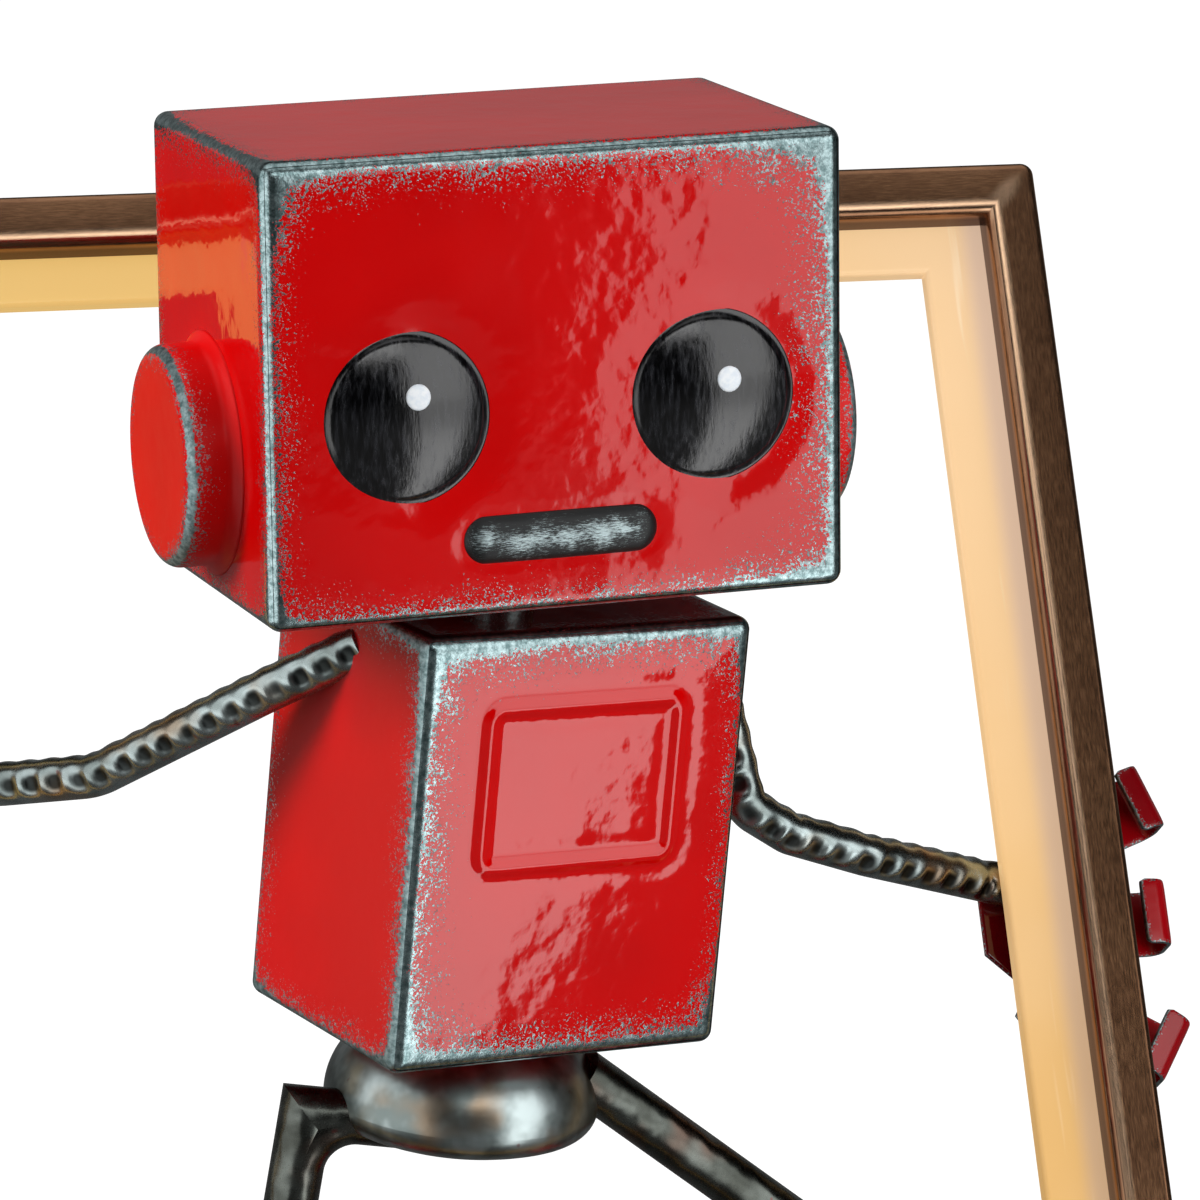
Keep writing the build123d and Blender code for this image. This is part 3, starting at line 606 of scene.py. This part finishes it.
def glowing(start):
    """The edge-lit guide: deeper yellow below and towards the left, with a pale pink painted
    reflection of the upright bars' metal in a band along them, and long faint painted
    glints beside that band."""
    point = frame_point(start)
    x, y, _ = axes(point)
    soft = noise(point, 40.0).step(0.3, 0.7)
    rise = (y / 0.36 + soft * 0.12 + 0.44).step(0.0, 1.0)
    across = (x / 0.30 + 0.5).step(0.35, 1.0)
    upper = across.mix(colour(255, 212, 128), colour(240, 203, 156))
    glow = rise.mix(colour(224, 174, 96), upper)
    side_gap = FRAME_SIZE[0] / 2 * MM - x.maths("ABSOLUTE", x)
    near_bar = 1.0 - side_gap.step(0.0140, 0.0195)
    # painted reflection of the bars' metal in the band along the upright bars
    painted_bar_reflection = (near_bar * 0.75).mix(glow, rise.mix(colour(226, 186, 146), colour(246, 212, 188)))
    lines = noise(stretched(point, (1.0, 0.05, 1.0)), 3.0)
    # painted glints: long faint highlights beside the painted reflection
    glint = lines.step(0.58, 0.72) * side_gap.step(0.0150, 0.0185)
    glint = glint * (1.0 - side_gap.step(0.0195, 0.0230)) * 0.5
    lit = glint.mix(painted_bar_reflection, colour(255, 232, 200))
    return {"Base Color": near_bar.mix((0.5, 0.5, 0.5, 1), (0.3, 0.3, 0.3, 1)).times(lit),
            "Emission Color": lit, "Normal": bump(noise(point, 1.5), 0.006)}


glow = finish("diffuser_lit", {"Roughness": 0.30, "Emission Strength": 0.66}, glowing)


def plain(name, light, dark, size_mm, values, depth_mm=0.01):
    """A moulded or plated finish: two close tones and a fine grain."""
    def build(start):
        point = object_point(start)
        grain = noise(point, size_mm, 3.0, 0.6)
        return {"Base Color": grain.step(0.3, 0.7).mix(dark, light),
                "Roughness": grain * 0.12 + values.get("Roughness", 0.4),
                "Normal": bump(grain, depth_mm)}
    return finish(name, {k: v for k, v in values.items() if k != "Roughness"}, build)


zinc = plain("zinc_steel", colour(188, 190, 192), colour(150, 152, 156), 1.2,
             {"Metallic": 1.0, "Roughness": 0.26})
rubber = plain("pad_rubber", colour(38, 38, 38), colour(24, 24, 24), 0.5,
               {"Roughness": 0.75}, 0.03)
plate_dark = plain("back_plate", colour(58, 50, 44), colour(42, 36, 32), 0.7,
                   {"Metallic": 0.4, "Roughness": 0.42}, 0.015)
strip_pale = plain("light_strip", colour(240, 238, 225), colour(220, 214, 196), 2.0,
                   {"Roughness": 0.4})
black_plastic = plain("black_plastic", colour(36, 36, 37), colour(24, 24, 25), 0.4,
                      {"Roughness": 0.42}, 0.02)
rocker_gloss = plain("rocker_plastic", colour(30, 30, 31), colour(20, 20, 21), 3.0,
                     {"Roughness": 0.16}, 0.004)
board_green = plain("board_laminate", colour(24, 92, 52), colour(14, 66, 38), 1.5,
                    {"Roughness": 0.35})
lead_black = plain("lead_jacket", colour(34, 34, 35), colour(22, 22, 23), 0.6,
                   {"Roughness": 0.5})


# --- CAD nodes that keep their own shape ---
def dress(material, *names):
    """Gives these nodes one material."""
    for name in names:
        slots = nodes[name].data.materials
        slots.clear()
        slots.append(material)


dress(bronze, "frame_top", "frame_bottom", "frame_left", "frame_right")
for side in ("top", "bottom", "left", "right"):
    dress(glow, "light_guide_" + side)
    dress(plate_dark, "back_plate_" + side)
    dress(strip_pale, "led_strip_" + side)
dress(zinc, "corner_brackets", "bracket_screws", "cover_screws", "stud_nuts", "neck_washer",
      "neck_nut", "pelvis_bolt", "pelvis_nut", "jack_nut")
dress(rubber, "frame_pads", "sole_left", "sole_right")
dress(red_sheet, "back_cover", "head_base")
dress(steel_bowl, "pelvis_bowl")
dress(steel_dark, "neck_post")
dress(steel_black, "leg_left", "leg_right")
dress(lead_black, "frame_lead")
dress(black_plastic, "power_jack", "switch_housing", "board_spacers")
dress(rocker_gloss, "switch_rocker")
dress(board_green, "driver_board")


# --- Lit frame ---
BAR_FACE = 12.5
BAR_SHEET = 1.4
STEP_DEPTH = 9.0
OUTER_ROLL = 2.0
INNER_ROLL = 3.8
FRAME_CORNER = 3.0


def bar_section():
    """The folded bar's closed outline as (inwards from the outer side, back from the front):
    outer wall, rolled outer edge, face, wider rolled inner edge, step wall, and back along
    the inside of the sheet."""
    outer = OUTER_ROLL * (1 - np.stack([np.cos(QUARTER), np.sin(QUARTER)], -1))
    inner = np.stack([BAR_FACE - INNER_ROLL * (1 - np.sin(QUARTER)),
                      INNER_ROLL * 0.8 * (1 - np.cos(QUARTER))], -1)
    folded = [(BAR_FACE, STEP_DEPTH), (BAR_FACE - BAR_SHEET, STEP_DEPTH),
              (BAR_FACE - BAR_SHEET, 3.2), (BAR_FACE - 3.6, BAR_SHEET),
              (BAR_SHEET + 1.0, BAR_SHEET), (BAR_SHEET, BAR_SHEET + 1.0),
              (BAR_SHEET, BAR_DEPTH)]
    return np.concatenate([[(0, BAR_DEPTH)], outer, inner, folded])


def frame_loop(section):
    """The section carried round the frame. Inset by i, a corner is an arc of the corner
    radius less i, and a plain mitre once i is more than that."""
    inwards, back = section[:, 0], section[:, 1]
    rows = []
    for quarter, (sx, sy) in enumerate(((1, 1), (-1, 1), (-1, -1), (1, -1))):
        for turn in np.linspace(0, math.pi / 2, 7) + quarter * math.pi / 2:
            core = np.maximum(FRAME_CORNER, inwards)
            arc = np.maximum(FRAME_CORNER - inwards, 0)
            rows.append(np.stack([sx * (FRAME_SIZE[0] / 2 - core) + arc * np.cos(turn),
                                  sy * (FRAME_SIZE[1] / 2 - core) + arc * np.sin(turn)
                                  + FRAME_SIZE[1] / 2, -back], -1))
    rows.append(rows[0])
    return [(np.stack(rows), 0.0)]


piece("frame_shell", frame_loop(bar_section()), LIT, "lamp", bronze,
      ("frame_top", "frame_bottom", "frame_left", "frame_right"), crease=40)


# --- Head ---
EYE_FLARE = 1.5                          # width of the eye's thin lip
EYE_SEAT = -0.3                          # height of the lip's edge over the face
DOT_RADIUS = 2.75
DOTS = {"left": (1.8, 5.0), "right": (2.8, 3.8)}   # from the eye's middle
eye_x = EYE_SPACING / 2
eye_z = EYE_HEIGHT - head_half
mouth_z = MOUTH_HEIGHT - head_half


def face_relief(x, z):
    """The sheet sinks a little round the mouth and round each pressed eye, most at its
    right, and eases back towards its edges."""
    relief = -edge_ease(x, z, HEAD_SIZE)
    for sign in (-1, 1):
        outside = np.hypot(x - sign * eye_x, z - eye_z) - EYE_RADIUS
        depth = 0.06 + 0.28 * smooth(x - sign * eye_x, -7, 7)
        relief -= depth * np.exp(-(np.maximum(outside, 0) / 4.5) ** 2)
    outside = stadium_distance(x, z - mouth_z, MOUTH_SIZE[0], MOUTH_SIZE[1])
    return relief - 0.12 * np.exp(-(np.maximum(outside, 0) / 1.9) ** 2)


def face_reach(x, z):
    """The head's front is worn further in on its right, along its top and at its upper
    corners."""
    corners = np.exp(-((np.abs(x) - 64) ** 2 + (z - 50) ** 2) / 14 ** 2)
    return 1.15 + 1.2 * smooth(x, 25, 62) + 0.4 * smooth(z, 20, 48) + 1.4 * corners


piece("head_body", rounded_block(HEAD_SIZE, HEAD_EDGE, 1.3, face_relief, face_reach, 1.2),
      HEAD, "head", red_worn, ("head_shell",), wrap=False)

face_place = HEAD @ move(0, -HEAD_SIZE[1] / 2, 0) @ FACE
dome_radius = (EYE_RADIUS ** 2 + EYE_DOME ** 2) / (2 * EYE_DOME)


def dome_height(radius):
    """The height of the eye's ball over the face at this distance from its middle."""
    return EYE_DOME - dome_radius + np.sqrt(dome_radius ** 2 - radius ** 2)


flare_from = EYE_RADIUS - EYE_FLARE
cap = np.linspace(0, flare_from, 28)
flare = np.linspace(0, 1, 9)[1:]
flare_radii = flare_from + flare * 1.35 * EYE_FLARE
flare_heights = EYE_SEAT + (dome_height(flare_from) - EYE_SEAT) * (1 - flare) ** 1.8
eye_radii = np.concatenate([cap, flare_radii, [0]])
eye_heights = np.concatenate([dome_height(cap), flare_heights, [EYE_SEAT - 0.4]])
for side, sign in (("left", -1), ("right", 1)):
    eye_place = face_place @ move(sign * eye_x, eye_z, 0)
    piece("eye_dome_" + side, lathe(eye_radii, eye_heights, np.zeros(len(eye_radii))),
          eye_place, "head", eye_black, ("eye_" + side,))
    spread, angle = np.meshgrid(np.linspace(0, 1, 9), ring(40), indexing="ij")
    dot_x = DOTS[side][0] + DOT_RADIUS * spread * np.cos(angle)
    dot_y = DOTS[side][1] + DOT_RADIUS * spread * np.sin(angle)
    under = dome_height(np.hypot(dot_x, dot_y))
    upper = np.stack([dot_x, dot_y, under + 0.10 * np.sqrt(1 - spread ** 4)], -1)
    lower = np.stack([dot_x, dot_y, under - 0.15], -1)
    piece("eye_dot_" + side, [(np.concatenate([upper, lower[::-1]]), 0.0)], eye_place, "head",
          dot_white)


def pill(length, across, thick):
    """A pill pressed out of the sheet: rings at shares of the half width round the middle
    run, at a height of thick times (1 - share^3.2)."""
    run = (length - across) / 2
    share, angle = np.meshgrid(np.concatenate([np.linspace(0, 1, 16), [1.0]]), ring(120),
                               indexing="ij")
    x = run * np.sign(np.cos(angle)) * np.minimum(1, np.abs(np.cos(angle)) * 6)
    x = x + share * across / 2 * np.cos(angle)
    y = share * across / 2 * np.sin(angle)
    height = thick * (1 - share ** 3.2)
    height[-1] = -0.6
    return [(np.stack([x, y, height], -1), share * across / 2)]


piece("mouth_pill", pill(*MOUTH_SIZE), face_place @ move(0, mouth_z, 0), "head",
      mouth_black, ("mouth_plate",))

ear_radii = np.concatenate([
    [0], EAR_RADIUS + 2.6 * (1 - np.linspace(0, 1, 8)) ** 2.2, [EAR_RADIUS] * 4,
    EAR_RADIUS - EAR_RIM + EAR_RIM * np.cos(QUARTER),
    np.linspace(EAR_RADIUS - EAR_RIM, 0, 12)[1:]])
ear_heights = np.concatenate([
    [-0.3], np.linspace(-0.1, 3.2, 8), np.linspace(4.0, EAR_REACH - EAR_RIM - 0.3, 4),
    EAR_REACH - EAR_RIM + EAR_RIM * np.sin(QUARTER),
    EAR_REACH - 0.35 * (1 - np.linspace(1, 0, 12)[1:] ** 2)])
ear_wear = np.hypot(ear_radii - EAR_RADIUS + 0.8, ear_heights - EAR_REACH + 0.8) * 1.3
for side, sign in (("left", -1), ("right", 1)):
    ear_place = (HEAD @ move(sign * HEAD_SIZE[0] / 2, EAR_SETBACK, EAR_HEIGHT - head_half)
                 @ Matrix.Rotation(sign * math.pi / 2, 4, "Y"))
    piece("ear_cup_" + side, lathe(ear_radii, ear_heights, ear_wear), ear_place, "head",
          red_ear, ("ear_" + side,))


# --- Torso ---
BEAD_HALF = 2.2
BEAD_RISE = 1.0


def chest_reach(x, z):
    """The torso's front is worn most along its left and bottom edges and its top corners."""
    return 0.95 + 0.9 * smooth(-x, 0, 38) + 1.3 * smooth(-z, 25, 47) + 1.2 * smooth(z, 25, 47)


def chest_relief(x, z):
    """A pressed bead: it rises evenly from both feet to a crest that is rounded off, and
    the sheet beside each foot lies a little deeper."""
    away = np.abs(frame_distance(x, z - CHEST_HEIGHT, CHEST_SIZE, CHEST_CORNER))
    ridge = 1 - np.sqrt((away / BEAD_HALF) ** 2 + 0.012)
    dip = 0.06 * (smooth(away, BEAD_HALF - 0.4, BEAD_HALF + 0.8) - smooth(away, 3.5, 6.5))
    return BEAD_RISE * np.maximum(ridge, 0) ** 0.9 - dip - edge_ease(x, z, TORSO_SIZE)


piece("torso_body", rounded_block(TORSO_SIZE, TORSO_EDGE, 0.75, chest_relief, chest_reach, 1.2),
      TORSO, "lamp", red_torso, ("torso_shell",), wrap=False)


# --- Hands ---
def on_bar(side, inwards, down, depth):
    """A point from the outer side, the top and the front of an upright bar."""
    sign = 1 if side == "right" else -1
    return LIT @ (Vector((sign * (FRAME_SIZE[0] / 2 - inwards), FRAME_SIZE[1] - down,
                          -depth)) * MM) / MM


strip_ring = ring(28)
strip_across = FINGER_WIDTH / 2 * signed_power(np.cos(strip_ring), 0.25)
strip_through = FINGER_SHEET / 2 * signed_power(np.sin(strip_ring), 0.35)


def finger(leg):
    """One strip bent twice: its leg lies behind the bar, its tip turns back in front."""
    route, run = bent_path([(-leg, 0, 0), (0, 0, 0), (0, 0, FINGER_FORWARD),
                            (-FINGER_RETURN, 0, FINGER_FORWARD + FINGER_RISE)],
                           FINGER_BEND, 0.6)
    ends = np.minimum(run, run[-1] - run)[:, None]
    narrow = 1 - 0.08 * (1 - smooth(ends, 0, 1.2))   # the tips' corners are off
    grid = swept(route, (0, 1, 0), strip_across * narrow,
                 np.broadcast_to(strip_through, (len(run), len(strip_ring))))
    border = np.minimum(FINGER_WIDTH / 2 - np.abs(strip_across), ends)
    tip = np.zeros((1, len(strip_ring)))
    wear = np.concatenate([tip, border, tip])
    return [(grid, wear * 6.0 + 0.9)]


def palm_plate():
    """An octagonal plate: rings at shares of the outline, whose radius at an angle is the
    apothem over the cosine of the angle from the nearest flat's middle."""
    turn = ring(96)
    flat = math.pi / 4
    outline = PALM_APOTHEM / np.cos((turn + flat / 2) % flat - flat / 2)
    share = np.array([0, 0.3, 0.6, 0.85, 0.95, 0.985, 1.0, 1.0, 0.985, 0.95, 0.85, 0.6, 0.3,
                      0])[:, None]
    height = np.array([1, 1, 1, 1, 1, 0.94, 0.7, 0.3, 0.06, 0, 0, 0, 0, 0])[:, None]
    grid = np.stack([share * outline * np.cos(turn), share * outline * np.sin(turn),
                     np.broadcast_to(height * PALM_SHEET, (len(height), turn.size))], -1)
    return [(grid, (1 - share) * outline * 8 + 2.5)]


for side in ("left", "right"):
    mirror = Matrix.Scale(-1, 4, (1, 0, 0)) if side == "left" else Matrix.Identity(4)
    palm_place = LIT @ mirror @ move(FRAME_SIZE[0] / 2 - PALM_FROM_SIDE,
                                     FRAME_SIZE[1] - PALM_DOWN[side], -BAR_DEPTH - PALM_SHEET)
    piece("palm_plate_" + side, palm_plate(), palm_place, "lamp", palm_red,
          ("palm_" + side,))
    for number, (out, down, direction, leg) in enumerate(FINGERS):
        strip_place = (LIT @ mirror
                       @ move(FRAME_SIZE[0] / 2 + out, FRAME_SIZE[1] - PALM_DOWN[side] - down,
                              -BAR_DEPTH - PALM_SHEET - FINGER_SHEET / 2)
                       @ Matrix.Rotation(math.radians(direction), 4, "Z"))
        piece(f"finger_{side}_{number + 1}", finger(leg), strip_place, "lamp",
              finger_red, ("fingers_" + side,))


# --- Arms ---
NOTCH_PITCH = 6.6
NOTCH_DEPTH = 1.05
TOP_DENT_DEPTH = 0.42
ARM_BENDS = {"left": 24.0, "right": 9.0}  # radii
SHOULDER_SINK = 6.0
# bends of each arm from the torso's middle, in the lamp's own axes
LEFT_BENDS = ((-51.7, -0.1, 28.7), (-84.9, 31.9, 3.6), (-103.9, 49.9, -1.7))
RIGHT_BENDS = ((53.7, 23.9, 22.9), (61.3, 23.9, -9.0), (72.3, 26.9, -16.6),
               (91.8, 32.9, -24.3))


def hammered_rod(points, bend, facing, upwards, seed):
    """A round rod with a row of round hammer dents. The radius falls by the dent depth times
    a bell of the place along the pitch and of the angle from the facing line. The top,
    on the side that upwards (1 or -1) gives, carries a fainter row, and each dent has its
    own depth and place. The wear attribute is the share of the dent's depth."""
    path, run = bent_path(points, bend, 0.55)
    angle = np.linspace(-math.pi, math.pi, 48, endpoint=False)[None, :]
    draw = np.random.default_rng(seed)
    count = int(run[-1] / NOTCH_PITCH) + 2
    depth = 0.75 + 0.4 * draw.random(count)
    shift = 1.1 * (draw.random(count) - 0.5)
    index = (run / NOTCH_PITCH).astype(int)
    along = ((run / NOTCH_PITCH) % 1 - 0.5) * NOTCH_PITCH - shift[index]

    def bell(width, power):
        return np.exp(-(np.abs(along) / width) ** power)[:, None] * depth[index][:, None]

    def near(middle, width, power):
        turn = np.abs((angle - middle + math.pi) % (2 * math.pi) - math.pi)
        return np.exp(-(turn / width) ** power)

    dent = bell(2.05, 3) * near(facing, 0.50, 2.6)
    top = bell(2.2, 2) * near(facing + 2.0 * upwards, 0.7, 2)
    radius = ARM_RADIUS - NOTCH_DEPTH * dent - TOP_DENT_DEPTH * top
    grid = swept(path, (0, -1, 0), radius * np.cos(angle), radius * np.sin(angle))
    ends = np.zeros((1, angle.size))
    return [(grid, np.concatenate([ends, dent, ends]))]


def shoulder(sign, setback, height, towards):
    """Where an arm starts, inside the torso's side wall, in line with its first run."""
    root = TORSO @ (Vector((sign * (TORSO_SIZE[0] / 2 - 1.2), setback, height)) * MM) / MM
    return root + (root - towards).normalized() * SHOULDER_SINK


torso_middle = TORSO.translation / MM
left_bends = [torso_middle + Vector(bend) for bend in LEFT_BENDS]
right_bends = [torso_middle + Vector(bend) for bend in RIGHT_BENDS]
rod_back = BAR_DEPTH - ARM_RADIUS
left_route = [shoulder(-1, 3.2, 36.5, left_bends[0]), *left_bends,
              on_bar("left", 30, PALM_DOWN["left"] - 6.0, rod_back),
              on_bar("left", 13, PALM_DOWN["left"] - 3.0, rod_back)]
right_route = [shoulder(1, 5.0, 33.0, right_bends[0]), *right_bends,
               on_bar("right", 30, PALM_DOWN["right"] - 9.1, rod_back),
               on_bar("right", 13, PALM_DOWN["right"] - 4.4, rod_back)]
for side, route, facing, upwards, seed in (("left", left_route, 0.20, 1, 4),
                                           ("right", right_route, 0.25, -1, 9)):
    piece("arm_rod_" + side, hammered_rod(route, ARM_BENDS[side], facing, upwards, seed),
          Matrix.Identity(4), "lamp", steel_dark, ("arm_" + side,))


# --- Boots ---
def boot_shell():
    """A shoe of rounded plan: rings at growing insets of the plan's outline. An inset
    shrinks the corner radius first and then the core that the corners stand round."""
    turn = ring(96)[None, :]
    inset = np.concatenate([[0, 0], BOOT_EDGE * (1 - np.cos(QUARTER)),
                            np.linspace(BOOT_EDGE, BOOT_CORNER - 0.2, 6)[1:]])[:, None]
    height = np.concatenate([[0, 6.0], BOOT_SIZE[2] - BOOT_EDGE + BOOT_EDGE * np.sin(QUARTER),
                             [BOOT_SIZE[2]] * 5])[:, None]
    core_x = (BOOT_SIZE[0] / 2 - BOOT_CORNER) * np.clip(np.cos(turn) * 8, -1, 1)
    core_y = (BOOT_SIZE[1] / 2 - BOOT_CORNER) * np.clip(np.sin(turn) * 8, -1, 1)
    grid = np.stack([core_x + (BOOT_CORNER - inset) * np.cos(turn),
                     core_y + (BOOT_CORNER - inset) * np.sin(turn),
                     np.broadcast_to(height, (len(height), turn.size))], -1)
    middle = grid[-1:] * [0, 0, 1]
    bottom = grid[:1] * [0, 0, 1]
    wear = np.concatenate([[8], np.abs(height[:, 0] - BOOT_SIZE[2] + 1.2) + inset[:, 0] * 0.8,
                           [14]])[:, None]
    return [(np.concatenate([bottom, grid, middle]), wear)]


for side, toe in (("left", 1), ("right", -1)):
    boot_place = (move(ANKLES[side][0], ANKLES[side][1], SOLE)
                  @ Matrix.Rotation(math.radians(-toe * BOOT_TOE_OUT), 4, "Z"))
    piece("boot_shell_" + side, boot_shell(), boot_place, "lamp", boot_red,
          ("boot_" + side,))


# --- Floor, light and camera ---
# Brightness of what glossy surfaces see, where the white background is 1.
DARK = 0.002
FLOOR_RIGHT = 1.43
FLOOR_RIGHT_NEAR = 1.13                  # added close to the lamp
FLOOR_LEFT = 1.5
RIGHT_PANEL = 1.95
HIGH_PART = 1.5                          # times the right panel's
LEFT_PANEL = 1.25
CEILING = 0.98
LOW_WALL = 0.18
EVEN_GLOW = 0.30                         # for diffuse rays
# A border of the right panel on the floor: a point on it and the direction into the panel.
LEFT_BORDER = ((0.601, -1.220), (0.8846, 0.4664))
RIGHT_BORDER = ((0.333, -0.325), (-0.4455, -0.8953))
FLOOR = 12.0                             # half its width, in metres
LAMP_MIDDLE = Vector((0, -0.04, 0.23))
CAMERA_PLACE = (-0.2885, -1.5059, 0.5772)
CAMERA_WAY = Vector((0.2030, 0.9550, -0.2164))
CAMERA_LENS = 210.0


def inside(x, y, border, blur):
    """0 to 1 across a border on the floor, over blur metres to each side of it."""
    (point_x, point_y), (into_x, into_y) = border
    return ((x - point_x) * into_x + (y - point_y) * into_y).step(-blur, blur)


def panel_on_floor(start):
    """What glossy surfaces see below the horizon: a bright panel on the right between two
    borders on the floor, brighter close to the lamp, and the foot of the left panel."""
    x, y, _ = axes(object_point(start))
    square = x * x + y * y
    away = square.maths("SQRT", square)
    near = 1.0 - away.step(0.5, 1.4)
    right = inside(x, y, LEFT_BORDER, 0.012) * inside(x, y, RIGHT_BORDER, 0.006)
    turn = x.maths("ARCTAN2", x, y * -1.0) * (-180 / math.pi)
    left = turn.step(30.0, 38.0) * (1.0 - turn.step(104.0, 110.0)) * away.step(0.45, 0.60)
    return right * (near * FLOOR_RIGHT_NEAR + FLOOR_RIGHT) + left * FLOOR_LEFT


def light_paths(start):
    """Whether a ray comes straight from the camera or through glass, and whether it comes
    from a glossy surface."""
    path = "ShaderNodeLightPath"
    seen = start.node(path, out="Is Camera Ray") + start.node(path, out="Is Transmission Ray")
    return seen, start.node(path, out="Is Glossy Ray")


def studio_floor():
    """A pale floor: white to the camera at a distance, a little less near the lamp, where
    the lit floor makes up the rest and the lamp's shadow stays."""
    material = bpy.data.materials.new("studio_floor")
    material.use_nodes = True
    tree = material.node_tree
    start = Wire(tree)
    shader = tree.nodes["Principled BSDF"]
    place = object_point(start)
    away = place.node("ShaderNodeVectorMath", {"operation": "LENGTH"}, {0: place}, out="Value")
    white = away.step(0.18, 0.30) * 0.12 + 0.90
    seen, glossy = light_paths(start)
    glint = glossy * (panel_on_floor(start) + DARK)
    values = {"Base Color": (0.12, 0.12, 0.12, 1), "Roughness": 0.9, "Specular IOR Level": 0.0,
              "Emission Color": (1, 1, 1, 1)}
    for key, value in values.items():
        shader.inputs[key].default_value = value
    tree.links.new((seen * white + glint).socket, shader.inputs["Emission Strength"])
    return material


floor_mesh = bpy.data.meshes.new("studio_floor")
floor_mesh.from_pydata([(-FLOOR, -FLOOR, 0), (FLOOR, -FLOOR, 0), (FLOOR, FLOOR, 0),
                        (-FLOOR, FLOOR, 0)], [], [(0, 1, 2, 3)])
floor_mesh.materials.append(studio_floor())
floor = bpy.data.objects.new("studio_floor", floor_mesh)
bpy.context.scene.collection.objects.link(floor)


def studio_world():
    """White to the camera. Glossy rays see a dark room with a panel on the right, which
    reaches round to the front high up, one on the left, a soft ceiling and a low pale wall
    behind. Diffuse rays see an even glow. Turns are degrees from the front, positive to the
    right, and up is the sine of the elevation."""
    world = bpy.context.scene.world or bpy.data.worlds.new("studio")
    bpy.context.scene.world = world
    world.use_nodes = True
    tree = world.node_tree
    start = Wire(tree)
    way = start.node("ShaderNodeTexCoord", out="Generated")
    x, y, up = axes(way)
    turn = x.maths("ARCTAN2", x, y * -1.0) * (180 / math.pi)
    right = turn.step(21.0, 26.0) * (1.0 - turn.step(62.0, 66.0)) * (1.0 - up.step(0.50, 0.60))
    high = turn.step(-12.0, -4.0) * (1.0 - turn.step(21.0, 26.0)) * up.step(0.38, 0.46)
    right = right + high * (1.0 - up.step(0.56, 0.64)) * HIGH_PART
    back = turn * -1.0
    left = back.step(35.0, 42.0) * (1.0 - back.step(104.0, 108.0))
    left = left * up.step(-0.02, 0.02) * (1.0 - up.step(0.60, 0.70))
    wall = y.step(0.2, 0.5) * up.step(-0.02, 0.03) * (1.0 - up.step(0.25, 0.5))
    ceiling = up.step(0.70, 0.95)
    room = (right * RIGHT_PANEL + left * LEFT_PANEL + wall * LOW_WALL + ceiling * CEILING
            + DARK)
    seen, glossy = light_paths(start)
    strength = seen + glossy * room + (1.0 - seen - glossy) * EVEN_GLOW
    background = tree.nodes["Background"]
    background.inputs["Color"].default_value = (1, 1, 1, 1)
    tree.links.new(strength.socket, background.inputs["Strength"])


studio_world()


def softbox(name, azimuth, elevation, distance, size, radiance):
    """An area light that faces the lamp's middle, left out of reflections, which see the
    studio's own panels. Azimuth 0 is in front, positive to the right. The power is radiance
    times area times pi."""
    light = bpy.data.lights.new(name, "AREA")
    light.shape = "RECTANGLE"
    light.size, light.size_y = size
    light.energy = radiance * size[0] * size[1] * math.pi
    holder = bpy.data.objects.new(name, light)
    a, e = math.radians(azimuth), math.radians(elevation)
    away = Vector((math.sin(a) * math.cos(e), -math.cos(a) * math.cos(e), math.sin(e)))
    holder.location = LAMP_MIDDLE + away * distance
    holder.rotation_euler = away.to_track_quat("Z", "Y").to_euler()
    holder.visible_glossy = False
    bpy.context.scene.collection.objects.link(holder)


softbox("key_softbox", 39, 5, 1.5, (0.75, 1.6), 3.4)
softbox("low_softbox", 42, -3, 1.1, (0.7, 0.34), 5.0)
softbox("left_softbox", -102, 30, 1.4, (0.5, 0.7), 17.5)
softbox("front_fill", -10, 42, 2.0, (1.4, 1.0), 0.9)

camera = bpy.data.objects.new("camera", bpy.data.cameras.new("camera"))
camera.data.sensor_width = 36.0
camera.data.lens = CAMERA_LENS
camera.data.clip_end = 50.0
camera.location = CAMERA_PLACE
camera.rotation_euler = CAMERA_WAY.to_track_quat("-Z", "Y").to_euler()
bpy.context.scene.collection.objects.link(camera)
bpy.context.scene.camera = camera
bpy.context.scene.view_settings.view_transform = "Standard"
